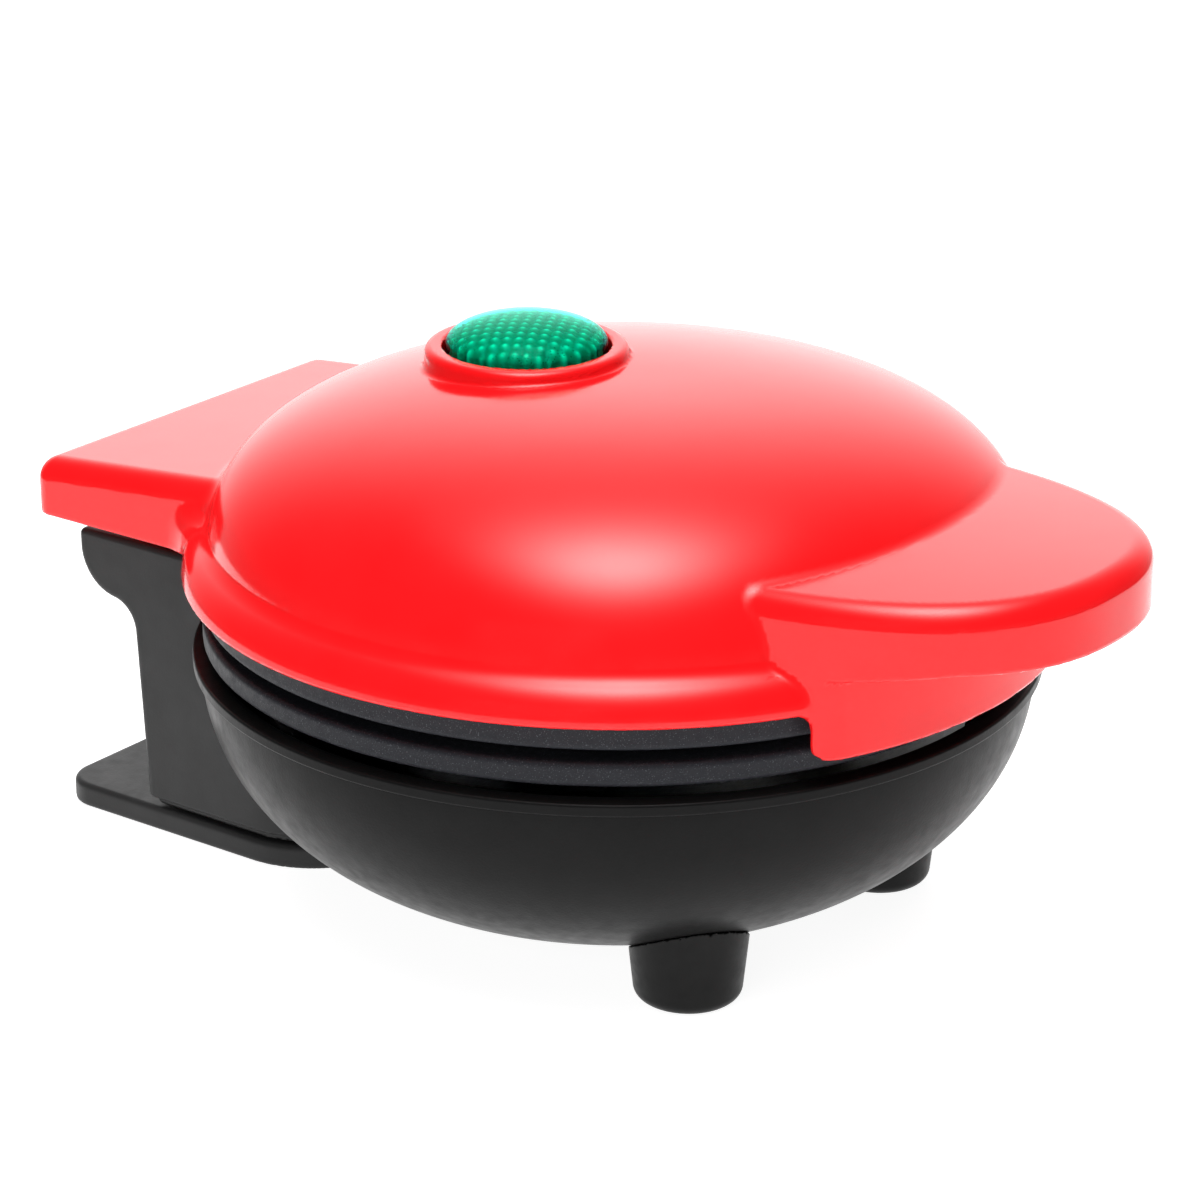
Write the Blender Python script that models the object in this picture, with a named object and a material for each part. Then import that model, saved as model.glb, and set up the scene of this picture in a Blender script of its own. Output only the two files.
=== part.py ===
"""A small electric donut maker: a hinged lid over a bowl, each with a ring-mould plate and its heater.

Units are metres, +Z is up and the handle points to -Y. Every piece is described in the body frame,
whose Z axis is the bowl's own axis and whose Z = 0 is the surface the maker stands on. The body frame
sits a little behind the origin's X axis, so that the whole footprint is centred on the origin.
"""
import math

import bmesh
import bpy
from mathutils import Matrix, Vector

# Frame
BODY_Y = -0.0029            # the bowl's axis, seen from the middle of the footprint
GAP = 0.0003                # air left between pieces that touch
ROUND_STEPS = 40            # sides of the large turned pieces
SMALL_STEPS = 10            # sides of screws, posts and holes
MOULD_STEPS = 16            # sides of each ring mould

# Lid
DOME_RADIUS = 0.060
DOME_BASE_Z = 0.0545
DOME_HEIGHT = 0.026
DOME_POWER = 2.53           # flatter on top than an ellipse, whose power is 2
LID_WALL = 0.0020
LIP_RADIUS = 0.0640
LIP_BOTTOM_Z = 0.0513
LIP_EDGE = 0.0012
LIP_TOP_Z = 0.0568
LIP_ROUND = 0.0034
LIP_BORE_RADIUS = 0.0617

# Handle: a crescent visor over the front, with a skirt that hangs in front of the plates
HANDLE_HALF_WIDTH = 0.0348
HANDLE_POWER = 2.36
HANDLE_ROOT_Y = -0.030
HANDLE_TIP_Y = -0.0837
HANDLE_TOP_Z = 0.0682
HANDLE_BOTTOM_Z = 0.0581
HANDLE_WALL = 0.0023
HANDLE_EDGE = 0.0030
SKIRT_RADIUS = 0.0660
SKIRT_BOTTOM_Z = 0.0450
SKIRT_END_Y = -0.0553
SKIRT_WALL = 0.0022

# Rear ledge, which covers the hinge
LEDGE_HALF_WIDTH = 0.0334
LEDGE_REAR_Y = 0.0869
LEDGE_BOTTOM_Z = 0.0503
LEDGE_REAR_TOP_Z = 0.0591
LEDGE_SLOPE = 0.09
LEDGE_FRONT_Y = 0.040
LEDGE_WALL = 0.0018
LEDGE_EDGE = 0.0034

# Hollows of the lid
KEEP_LOW_Z = 0.0300         # below every part of the lid
KEEP_SHOULDER = 0.0015      # how far the wall under the handle stands out from the dome
KEEP_SHOULDER_Z = 0.0600
KEEP_TOP_Z = 0.0675
HOLLOW_LOW_Z = 0.0320       # the hollows are open downwards
LEDGE_HOLLOW_Y = 0.0550
LIP_BORE_HEIGHT = 0.0018
INNER_DOME_Z = 0.0553       # the inside follows the dome above this height
SHOULDER_TOP_Z = 0.0800     # the inner posts run up into the dome
POST_HOLE_DEPTH = 0.0100

# Indicator
COLLAR_Y = 0.0167
COLLAR_RADIUS = 0.0145
COLLAR_FLARE = 0.0014
COLLAR_BORE = 0.01246
COLLAR_FOOT_Z = 0.0760
COLLAR_TOP_Z = 0.08215
COLLAR_EDGE = 0.0010
LENS_RADIUS = 0.0114
LENS_TOP_Z = 0.0862
LENS_WALL = 0.0018
FLANGE_RADIUS = 0.0138
FLANGE_BOTTOM_Z = 0.0746
FLANGE_TOP_Z = 0.0758
RETAINER_RADIUS = 0.0144
RETAINER_HEIGHT = 0.0020
HOLDER_HALF_WIDTH = 0.0070
HOLDER_HALF_DEPTH = 0.0045
HOLDER_HEIGHT = 0.0036
LAMP_RADIUS = 0.0026
LAMP_SIDE_HEIGHT = 0.0060

# Hinge
HINGE_Y = 0.0750
HINGE_Z = 0.0446
PIN_RADIUS = 0.0020
PIN_HOLE = PIN_RADIUS + GAP
PIN_HALF_LENGTH = 0.0270
PIN_WAY_HALF_LENGTH = 0.0260
LUG_X = 0.0180
LUG_HALF_WIDTH = 0.0030
LUG_HALF_WEB = 0.0030
LUG_RADIUS = 0.0046

# Bowl: half a superellipsoid with a flattened underside
BOWL_RADIUS = 0.0618
BOWL_DEPTH = 0.0396
BOWL_POWER = 2.2
BOWL_RIM_RADIUS = 0.0628
BOWL_RIM_Z = 0.0402
BOWL_FLAT_Z = 0.0050
BOWL_WALL = 0.0022
BOWL_BEAD_HEIGHT = 0.0010
VENT_ROWS = (-0.0100, 0.0, 0.0100)
VENT_HALF_LENGTH = 0.0110
VENT_HALF_WIDTH = 0.0013

# Rear arm
ARM_HALF_WIDTH = 0.0280
ARM_WALL = 0.0020
ARM_TOP_Z = 0.0472
ARM_BOTTOM_Z = 0.0041
ARM_FRONT_Y = 0.0360
ARM_CLEAR_RADIUS = 0.0634   # the arm stays outside the plates and the lip
ARM_FOOT_Y = 0.0703
ARM_NECK_Y = 0.0719
ARM_FLARE_RADIUS = 0.0077
ARM_FILLET_RADIUS = 0.0048
SLOT_BOTTOM_Z = 0.0397      # the lugs' webs meet this edge when the lid is fully open
GLAND_Z = 0.0185
GLAND_HOLE = 0.0045
GLAND_WAY = 0.0030
GLAND_NECK = 0.0042
GLAND_NECK_LENGTH = 0.0062
GLAND_HEAD = 0.0065
GLAND_HEAD_LENGTH = 0.0022
GLAND_EDGE = 0.0010
CHEEK_RADIUS = 0.0052       # the round bosses inside the arm that hold the ends of the hinge pin
CHEEK_HALF_WIDTH = 0.0016
SLOT_SIDE_GAP = 0.0005
ARM_SCREW_ANGLE = math.radians(16.0)
ARM_SCREW_Z = 0.0330

# Foot plate and feet
PLATE_HALF_WIDTH = 0.0280
PLATE_FRONT_Y = 0.0330
PLATE_REAR_Y = 0.0895
PLATE_TOP_Z = 0.0038
PLATE_FRONT_CORNER = 0.0160
PLATE_REAR_CORNER = 0.0060
FOOT_X = 0.0249
FOOT_Y = -0.0308
FOOT_TOP_RADIUS = 0.0092
FOOT_BOTTOM_RADIUS = 0.0077
FOOT_TOP_Z = 0.0142
FOOT_EDGE = 0.0018
FOOT_POCKET_Z = 0.0024
FOOT_BOSS_RADIUS = 0.0040
PLATE_POCKET_Z = 0.0020
PLATE_BOSS_RADIUS = 0.0036
PLATE_SCREWS = ((0.0228, 0.0640, 0.0150), (0.0180, 0.0480, 0.0118))     # x, y and the boss's top

# Cooking plates and their ring moulds
COOK_RADIUS = 0.0612
COOK_SHEET = 0.0025
COOK_RIM_WALL = 0.0025
LOWER_FACE_Z = 0.0455
UPPER_FACE_Z = 0.0473
LOWER_RIM_HEIGHT = 0.0035
UPPER_RIM_HEIGHT = 0.0042
MOULD_COUNT = 4
MOULD_CENTRE_RADIUS = 0.0325
MOULD_RING_RADIUS = 0.0130
MOULD_TUBE_RADIUS = 0.0075
MOULD_WALL = 0.0018
POST_RADIUS_FROM_AXIS = 0.0450
POST_ANGLES = (0.0, math.pi, 1.5 * math.pi)
POST_RADIUS = 0.0040
SHOULDER_RADIUS = 0.0055

# Heaters
ELEMENT_RADIUS = 0.0325
ELEMENT_TUBE = 0.0030
ELEMENT_PIN = 0.0013
ELEMENT_PIN_X = 0.0060
ELEMENT_PIN_END_Y = 0.0500
ELEMENT_BEND = 0.0060
ELEMENT_DROP = MOULD_TUBE_RADIUS + MOULD_WALL + GAP + ELEMENT_TUBE
REFLECTOR_SHEET = 0.0008
LOWER_REFLECTOR_Z = 0.0275
UPPER_REFLECTOR_Z = 0.0636
LOWER_REFLECTOR_RADIUS = 0.0520
UPPER_REFLECTOR_RADIUS = 0.0538
REFLECTOR_EDGE = 0.0030
REFLECTOR_RISE = 0.0010
THERMOSTAT_RADIUS = 0.0066
THERMOSTAT_HEIGHT = 0.0048
THERMOSTAT_FLANGE_RADIUS = 0.0078
THERMOSTAT_FLANGE = 0.0012

# Wiring
TERMINAL_HALF_WIDTH = 0.0110
TERMINAL_FRONT_Y = 0.0585
TERMINAL_REAR_Y = 0.0660
TERMINAL_HEIGHT = 0.0080
TERMINAL_X = 0.0055
TERMINAL_Y = 0.0622
TERMINAL_WAY = 0.0018
FUSE_RADIUS = 0.0018
FUSE_FRONT_Y = -0.0385
FUSE_REAR_Y = -0.0265
LEAD_RADIUS = 0.0011
BASE_WIRE_WAY = (0.0090, 0.0500, 0.0630, 0.0200, 0.0300)    # half width, near y, far y, low z, high z
LID_WIRE_WAY = (0.0080, 0.0540, 0.0680, 0.0530, 0.0572)

# Screws
SHANK_RADIUS = 0.0015
SHANK_HOLE = 0.0018
HEAD_RADIUS = 0.0028
HEAD_POCKET = 0.0032
HEAD_HEIGHT = 0.0012
HEAD_EDGE = 0.0005
SHANK_POINT = 0.0010
PLATE_SCREW_LENGTH = 0.0110
FOOT_SCREW_LENGTH = 0.0135
ARM_SCREW_LENGTH = 0.0075


# ---------------------------------------------------------------- materials

def material(name, colour, roughness, metallic=0.0):
    """Return a Principled material, made once and shared after that."""
    found = bpy.data.materials.get(name)
    if found:
        return found
    made = bpy.data.materials.new(name)
    made.use_nodes = True
    shader = made.node_tree.nodes["Principled BSDF"]
    shader.inputs["Base Color"].default_value = (*colour, 1.0)
    shader.inputs["Roughness"].default_value = roughness
    shader.inputs["Metallic"].default_value = metallic
    made.diffuse_color = (*colour, 1.0)
    return made


def red_gloss():
    return material("red_gloss", (0.86, 0.012, 0.018), 0.16)


def green_lens():
    return material("green_lens", (0.0, 0.35, 0.17), 0.10)


def black_satin():
    return material("black_satin", (0.030, 0.030, 0.031), 0.45)


def black_rubber():
    return material("black_rubber", (0.016, 0.016, 0.016), 0.60)


def nonstick():
    return material("nonstick", (0.028, 0.028, 0.030), 0.55, 0.2)


def bright_steel():
    return material("bright_steel", (0.62, 0.62, 0.63), 0.30, 1.0)


def element_steel():
    return material("element_steel", (0.35, 0.34, 0.33), 0.40, 1.0)


def reflector_aluminium():
    return material("reflector_aluminium", (0.80, 0.80, 0.81), 0.35, 1.0)


def ceramic():
    return material("ceramic", (0.82, 0.80, 0.75), 0.55)


def lead_sleeve():
    return material("lead_sleeve", (0.75, 0.74, 0.70), 0.60)


# ---------------------------------------------------------------- shape tools

def arc(centre, radius, start, end, steps):
    """Points along an arc of a circle, from one angle in degrees to another."""
    points = []
    for step in range(steps + 1):
        angle = math.radians(start + (end - start) * step / steps)
        points.append((centre[0] + radius * math.cos(angle), centre[1] + radius * math.sin(angle)))
    return points


def place(bm, name, finish, smooth_angle=35.0):
    """Turn a bmesh into a named object in the body frame, with one finish."""
    bmesh.ops.recalc_face_normals(bm, faces=bm.faces)
    mesh = bpy.data.meshes.new(name)
    bm.to_mesh(mesh)
    bm.free()
    made = bpy.data.objects.new(name, mesh)
    bpy.context.scene.collection.objects.link(made)
    mesh.materials.append(finish)
    soften(made, smooth_angle)
    return made


def soften(piece, angle=35.0):
    """Shade a round piece smooth and keep its real edges sharp."""
    piece.data.shade_smooth()
    piece.data.set_sharp_from_angle(angle=math.radians(angle))


def turned(name, profile, finish, steps=ROUND_STEPS, at=(0.0, 0.0), closed=False):
    """Turn a profile of (radius, z) points about a vertical axis through the point at.

    An open profile starts and ends on the axis. A closed one is the section of a ring.
    """
    bm = bmesh.new()
    rings = []
    for radius, height in profile:
        if radius < 1e-7:
            rings.append([bm.verts.new((at[0], at[1], height))])
            continue
        ring = []
        for step in range(steps):
            angle = 2.0 * math.pi * step / steps
            ring.append(bm.verts.new((at[0] + radius * math.cos(angle),
                                      at[1] + radius * math.sin(angle), height)))
        rings.append(ring)
    pairs = list(zip(rings, rings[1:]))
    if closed:
        pairs.append((rings[-1], rings[0]))
    for lower, upper in pairs:
        for step in range(steps):
            after = (step + 1) % steps
            corners = [lower[step % len(lower)], lower[after % len(lower)],
                       upper[after % len(upper)], upper[step % len(upper)]]
            unique = list(dict.fromkeys(corners))
            if len(unique) > 2:
                bm.faces.new(unique)
    return place(bm, name, finish)


def extruded(name, outline, low, high, finish, axis="Z"):
    """Extrude a closed outline between two heights, along Z or, for a (y, z) outline, along X."""
    bm = bmesh.new()

    def corner(point, height):
        if axis == "X":
            return bm.verts.new((height, point[0], point[1]))
        return bm.verts.new((point[0], point[1], height))

    bottom = [corner(point, low) for point in outline]
    top = [corner(point, high) for point in outline]
    bm.faces.new(bottom)
    bm.faces.new(top)
    for index in range(len(outline)):
        after = (index + 1) % len(outline)
        bm.faces.new((bottom[index], bottom[after], top[after], top[index]))
    return place(bm, name, finish)


def block(name, low, high, finish):
    """A box between two corners."""
    outline = [(low[0], low[1]), (high[0], low[1]), (high[0], high[1]), (low[0], high[1])]
    return extruded(name, outline, low[2], high[2], finish)


def rod(name, start, end, radius, finish, steps=SMALL_STEPS):
    """A round bar between two points."""
    start, end = Vector(start), Vector(end)
    length = (end - start).length
    made = turned(name, [(0.0, 0.0), (radius, 0.0), (radius, length), (0.0, length)], finish, steps)
    turn = (end - start).to_track_quat("Z", "Y").to_matrix().to_4x4()
    made.data.transform(Matrix.Translation(start) @ turn)
    return made


def tube(name, points, radius, finish, radii=None, smooth=False):
    """A bar bent along points. With smooth, the points are joined by one soft curve."""
    curve = bpy.data.curves.new(name, "CURVE")
    curve.dimensions = "3D"
    curve.bevel_depth = radius
    curve.bevel_resolution = 1
    curve.use_fill_caps = True
    if smooth:
        curve.resolution_u = 4
        spline = curve.splines.new("BEZIER")
        spline.bezier_points.add(len(points) - 1)
        for knot, point in zip(spline.bezier_points, points):
            knot.co = point
            knot.handle_left_type = "AUTO"
            knot.handle_right_type = "AUTO"
    else:
        spline = curve.splines.new("POLY")
        spline.points.add(len(points) - 1)
        for index, point in enumerate(points):
            spline.points[index].co = (*point, 1.0)
            if radii:
                spline.points[index].radius = radii[index]
    made = bpy.data.objects.new(name, curve)
    bpy.context.scene.collection.objects.link(made)
    curve.materials.append(finish)
    return made


def rounded_edges(piece, width, steps, wanted):
    """Round the edges of a piece whose midpoint and direction pass the test wanted."""
    bm = bmesh.new()
    bm.from_mesh(piece.data)
    edges = [edge for edge in bm.edges
             if edge.calc_face_angle(0.0) > math.radians(30.0)
             and wanted((edge.verts[0].co + edge.verts[1].co) / 2.0,
                        (edge.verts[1].co - edge.verts[0].co).normalized())]
    bmesh.ops.bevel(bm, geom=edges, offset=width, segments=steps, profile=0.5, affect="EDGES",
                    clamp_overlap=True)
    bm.to_mesh(piece.data)
    bm.free()
    soften(piece)


def combine(piece, tool, operation):
    """Cut, join or keep the common part of two solids, and delete the tool."""
    change = piece.modifiers.new("change", "BOOLEAN")
    change.object = tool
    change.operation = operation
    change.solver = "EXACT"
    graph = bpy.context.evaluated_depsgraph_get()
    result = bpy.data.meshes.new_from_object(piece.evaluated_get(graph))
    piece.modifiers.clear()
    old = piece.data
    finish = old.materials[0]
    name = old.name
    piece.data = result
    bpy.data.meshes.remove(old)
    bpy.data.objects.remove(tool, do_unlink=True)
    result.name = name
    result.materials.clear()
    result.materials.append(finish)
    for face in result.polygons:
        face.material_index = 0
    tidy(result)
    soften(piece)


def tidy(mesh):
    """Weld the points that a cut leaves on top of each other."""
    bm = bmesh.new()
    bm.from_mesh(mesh)
    bmesh.ops.remove_doubles(bm, verts=bm.verts, dist=2e-6)
    bmesh.ops.dissolve_degenerate(bm, edges=bm.edges, dist=2e-6)
    bm.to_mesh(mesh)
    bm.free()


def cut(piece, tool):
    combine(piece, tool, "DIFFERENCE")


def join(piece, tool):
    combine(piece, tool, "UNION")


def keep_common(piece, tool):
    combine(piece, tool, "INTERSECT")


# ---------------------------------------------------------------- shared outlines

def dome_points(radius, height, steps=9):
    """The dome's section from its top centre down to its base: a superellipse."""
    points = [(0.0, DOME_BASE_Z + height)]
    for step in range(1, steps + 1):
        angle = math.pi / 2.0 * (1.0 - step / steps)
        points.append((radius * math.cos(angle) ** (2.0 / DOME_POWER),
                       DOME_BASE_Z + height * max(math.sin(angle), 0.0) ** (2.0 / DOME_POWER)))
    return points


def bowl_points(growth, steps=7):
    """The bowl's outer section, grown by a distance, from its rim down to its underside's centre."""
    radius = BOWL_RADIUS + growth
    depth = BOWL_DEPTH + growth
    flat = BOWL_FLAT_Z - growth
    low_angle = math.asin(((BOWL_RIM_Z - flat) / depth) ** (BOWL_POWER / 2.0))
    power = 2.0 / BOWL_POWER
    points = []
    for step in range(steps + 1):
        angle = low_angle * step / steps
        points.append((radius * math.cos(angle) ** power,
                       BOWL_RIM_Z - depth * math.sin(angle) ** power))
    points.append((0.0, flat))
    return points


def bowl_radius_at(height):
    """The bowl's outer radius at a height."""
    drop = ((BOWL_RIM_Z - height) / BOWL_DEPTH) ** BOWL_POWER
    return BOWL_RADIUS * (1.0 - drop) ** (1.0 / BOWL_POWER)


def handle_outline(inset, limit=None, steps=22):
    """The crescent's outline, from its right end round the tip to its left end.

    inset moves it inwards. limit keeps every point within that radius of the bowl's axis.
    """
    points = []
    for step in range(steps + 1):
        angle = math.pi * step / steps
        across = abs(math.cos(angle)) ** (2.0 / HANDLE_POWER)
        along = max(math.sin(angle), 0.0) ** (2.0 / HANDLE_POWER)
        x = math.copysign(HANDLE_HALF_WIDTH - inset, math.cos(angle)) * across
        y = HANDLE_ROOT_Y + (HANDLE_TIP_Y + inset - HANDLE_ROOT_Y) * along
        shrink = min(1.0, limit / math.hypot(x, y)) if limit else 1.0
        points.append((x * shrink, y * shrink))
    return points


def arm_outline(inset):
    """The arm's side view as (y, z) points, moved inwards by inset and open at its foot."""
    flare_centre = (HINGE_Y, HINGE_Z)
    fillet_y = ARM_NECK_Y + ARM_FILLET_RADIUS
    reach = ARM_FLARE_RADIUS + ARM_FILLET_RADIUS
    drop = math.sqrt(reach ** 2 - (fillet_y - HINGE_Y) ** 2)
    fillet_centre = (fillet_y, HINGE_Z - drop)
    turn = math.degrees(math.atan2(drop, fillet_y - HINGE_Y))
    low = ARM_BOTTOM_Z - (0.002 if inset else 0.0)
    high = ARM_TOP_Z + (0.002 if inset else 0.0)
    points = [(ARM_FRONT_Y + inset, low), (ARM_FOOT_Y - inset, low)]
    points += arc(fillet_centre, ARM_FILLET_RADIUS + inset, 180.0, 180.0 - turn, 5)
    points += arc(flare_centre, ARM_FLARE_RADIUS - inset, -turn, 0.0, 6)[1:]
    points += [(HINGE_Y + ARM_FLARE_RADIUS - inset, high), (ARM_FRONT_Y + inset, high)]
    return points


def rounded_rectangle(half_width, low_y, high_y, low_corner, high_corner, steps=4):
    """A rectangle with one radius at its low-y corners and another at its high-y corners."""
    x = half_width
    return (arc((-x + low_corner, low_y + low_corner), low_corner, 180.0, 270.0, steps)
            + arc((x - low_corner, low_y + low_corner), low_corner, 270.0, 360.0, steps)
            + arc((x - high_corner, high_y - high_corner), high_corner, 0.0, 90.0, steps)
            + arc((-x + high_corner, high_y - high_corner), high_corner, 90.0, 180.0, steps))


def post_places():
    """Where the three posts of each plate stand."""
    return [(POST_RADIUS_FROM_AXIS * math.cos(angle), POST_RADIUS_FROM_AXIS * math.sin(angle))
            for angle in POST_ANGLES]


def screw(name, seat, direction, length):
    """A pan-head screw whose head's underside is at seat and whose shank runs along direction."""
    profile = [(0.0, -HEAD_HEIGHT), (HEAD_RADIUS - HEAD_EDGE, -HEAD_HEIGHT),
               (HEAD_RADIUS, -HEAD_HEIGHT + HEAD_EDGE), (HEAD_RADIUS, 0.0),
               (SHANK_RADIUS, 0.0), (SHANK_RADIUS, length - SHANK_POINT), (0.0, length)]
    made = turned(name, profile, bright_steel(), SMALL_STEPS)
    turn = Vector(direction).to_track_quat("Z", "Y").to_matrix().to_4x4()
    made.data.transform(Matrix.Translation(Vector(seat)) @ turn)
    return made


def wire_way(way, finish):
    """A block that opens a wall for the leads. way holds its half width, its y and its z limits."""
    half, near_y, far_y, low_z, high_z = way
    return block("wire_way", (-half, near_y, low_z), (half, far_y, high_z), finish)


# ---------------------------------------------------------------- lid

def lid_keep(finish):
    """The turned body that the handle's and the ledge's hollows leave standing."""
    profile = [(0.0, KEEP_LOW_Z), (SKIRT_RADIUS, KEEP_LOW_Z), (SKIRT_RADIUS, HANDLE_BOTTOM_Z),
               (DOME_RADIUS + KEEP_SHOULDER, KEEP_SHOULDER_Z), (DOME_RADIUS, KEEP_TOP_Z),
               (0.0, KEEP_TOP_Z)]
    return turned("keep", profile, finish)


def lid_shell():
    """The red moulding: dome, lip, handle with its skirt, ledge, collar, lugs and inner posts."""
    red = red_gloss()
    profile = dome_points(DOME_RADIUS, DOME_HEIGHT)
    profile = [point for point in profile if point[1] > LIP_TOP_Z + LIP_EDGE]
    profile += [(DOME_RADIUS - GAP, LIP_TOP_Z)]
    profile += arc((LIP_RADIUS - LIP_ROUND, LIP_TOP_Z - LIP_ROUND), LIP_ROUND, 80.0, 0.0, 4)
    profile += [(LIP_RADIUS, LIP_BOTTOM_Z + LIP_EDGE), (LIP_RADIUS - LIP_EDGE, LIP_BOTTOM_Z),
                (0.0, LIP_BOTTOM_Z)]
    shell = turned("lid_shell", profile, red)

    visor = extruded("visor", handle_outline(0.0), HANDLE_BOTTOM_Z, HANDLE_TOP_Z, red)
    rounded_edges(visor, HANDLE_EDGE, 3, lambda middle, along: middle.z > HANDLE_TOP_Z - 1e-5
                  and middle.y < HANDLE_ROOT_Y - 1e-4)
    join(shell, visor)
    skirt = extruded("skirt", handle_outline(0.0, SKIRT_RADIUS), SKIRT_BOTTOM_Z,
                     HANDLE_BOTTOM_Z + 0.001, red)
    cut(skirt, block("skirt_end", (-HANDLE_HALF_WIDTH - GAP, SKIRT_END_Y, SKIRT_BOTTOM_Z - GAP),
                     (HANDLE_HALF_WIDTH + GAP, 0.0, LIP_BOTTOM_Z + LIP_EDGE), red))
    join(shell, skirt)

    top_rise = LEDGE_SLOPE * (LEDGE_REAR_Y - LEDGE_FRONT_Y)
    side_view = [(LEDGE_FRONT_Y, LEDGE_BOTTOM_Z), (LEDGE_REAR_Y, LEDGE_BOTTOM_Z),
                 (LEDGE_REAR_Y, LEDGE_REAR_TOP_Z), (LEDGE_FRONT_Y, LEDGE_REAR_TOP_Z + top_rise)]
    ledge = extruded("ledge", side_view, -LEDGE_HALF_WIDTH, LEDGE_HALF_WIDTH, red, "X")
    rounded_edges(ledge, LEDGE_EDGE, 3, lambda middle, along: middle.y > LEDGE_FRONT_Y + 0.001
                  and (middle.z > LEDGE_REAR_TOP_Z - 1e-5 or abs(along.z) > 0.9))
    join(shell, ledge)
    collar_profile = [(0.0, COLLAR_FOOT_Z), (COLLAR_RADIUS + COLLAR_FLARE, COLLAR_FOOT_Z),
                      (COLLAR_RADIUS, COLLAR_TOP_Z - COLLAR_EDGE),
                      (COLLAR_RADIUS - COLLAR_EDGE, COLLAR_TOP_Z), (0.0, COLLAR_TOP_Z)]
    join(shell, turned("collar", collar_profile, red, 24, (0.0, COLLAR_Y)))

    inner = dome_points(DOME_RADIUS - LID_WALL, DOME_HEIGHT - LID_WALL)
    inner = [point for point in inner if point[1] > INNER_DOME_Z]
    inner += [(LIP_BORE_RADIUS, LIP_BOTTOM_Z + LIP_BORE_HEIGHT), (LIP_BORE_RADIUS, LIP_BOTTOM_Z - GAP),
              (SKIRT_RADIUS - SKIRT_WALL, LIP_BOTTOM_Z - GAP), (SKIRT_RADIUS - SKIRT_WALL, KEEP_LOW_Z),
              (0.0, KEEP_LOW_Z)]
    cut(shell, turned("inner", inner, red))

    recess = extruded("recess", handle_outline(HANDLE_WALL), HOLLOW_LOW_Z, HANDLE_TOP_Z - HANDLE_WALL,
                      red)
    cut(recess, lid_keep(red))
    cut(shell, recess)
    inside_top = LEDGE_REAR_TOP_Z - LEDGE_WALL
    inside_view = [(LEDGE_HOLLOW_Y, HOLLOW_LOW_Z), (LEDGE_REAR_Y - LEDGE_WALL, HOLLOW_LOW_Z),
                   (LEDGE_REAR_Y - LEDGE_WALL, inside_top),
                   (LEDGE_HOLLOW_Y, inside_top + LEDGE_SLOPE * (LEDGE_REAR_Y - LEDGE_HOLLOW_Y))]
    half = LEDGE_HALF_WIDTH - LEDGE_WALL
    hollow = extruded("hollow", inside_view, -half, half, red, "X")
    cut(hollow, lid_keep(red))
    cut(shell, hollow)
    cut(shell, rod("bore", (0.0, COLLAR_Y, COLLAR_FOOT_Z - 0.006), (0.0, COLLAR_Y, LENS_TOP_Z + 0.004),
                   COLLAR_BORE, red, 24))
    cut(shell, wire_way(LID_WIRE_WAY, red))

    for side in (-1.0, 1.0):
        web_top = LEDGE_REAR_TOP_Z - LEDGE_WALL / 2.0
        spread = math.degrees(math.acos(LUG_HALF_WEB / LUG_RADIUS))
        outline = arc((HINGE_Y, HINGE_Z), LUG_RADIUS, 180.0 - spread, 360.0 + spread, 12)
        outline += [(HINGE_Y + LUG_HALF_WEB, web_top), (HINGE_Y - LUG_HALF_WEB, web_top)]
        centre = side * LUG_X
        join(shell, extruded("lug", outline, centre - LUG_HALF_WIDTH, centre + LUG_HALF_WIDTH, red, "X"))
    cut(shell, rod("pin_way", (-PIN_WAY_HALF_LENGTH, HINGE_Y, HINGE_Z),
                   (PIN_WAY_HALF_LENGTH, HINGE_Y, HINGE_Z), PIN_HOLE, red))

    for x, y in post_places():
        shoulder_z = UPPER_REFLECTOR_Z + REFLECTOR_SHEET + GAP
        foot_z = UPPER_FACE_Z + COOK_SHEET + GAP
        profile = [(0.0, foot_z), (POST_RADIUS, foot_z), (POST_RADIUS, shoulder_z),
                   (SHOULDER_RADIUS, shoulder_z), (SHOULDER_RADIUS, SHOULDER_TOP_Z),
                   (0.0, SHOULDER_TOP_Z)]
        post = turned("post", profile, red, SMALL_STEPS, (x, y))
        bite = LID_WALL / 2.0
        within = dome_points(DOME_RADIUS - bite, DOME_HEIGHT - bite)
        within += [(DOME_RADIUS - bite, KEEP_LOW_Z), (0.0, KEEP_LOW_Z)]
        keep_common(post, turned("within", within, red))
        join(shell, post)
        cut(shell, rod("post_hole", (x, y, UPPER_FACE_Z), (x, y, foot_z + POST_HOLE_DEPTH), SHANK_HOLE, red))
    return shell


def lens():
    """The green crowned lens, hollow from below, with the flange that holds it under the dome."""
    edge_z = COLLAR_TOP_Z
    crown = LENS_TOP_Z - edge_z
    profile = [(0.0, LENS_TOP_Z)]
    for step in range(1, 5):
        angle = math.pi / 2.0 * (1.0 - step / 4.0)
        profile.append((LENS_RADIUS * math.cos(angle), edge_z + crown * math.sin(angle)))
    profile += [(LENS_RADIUS, FLANGE_TOP_Z), (FLANGE_RADIUS, FLANGE_TOP_Z),
                (FLANGE_RADIUS, FLANGE_BOTTOM_Z), (LENS_RADIUS - LENS_WALL, FLANGE_BOTTOM_Z),
                (LENS_RADIUS - LENS_WALL, edge_z), (LENS_RADIUS * 0.6, LENS_TOP_Z - 0.0032),
                (0.0, LENS_TOP_Z - LENS_WALL)]
    return turned("indicator_lens", profile, green_lens(), 24, (0.0, COLLAR_Y))


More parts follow.
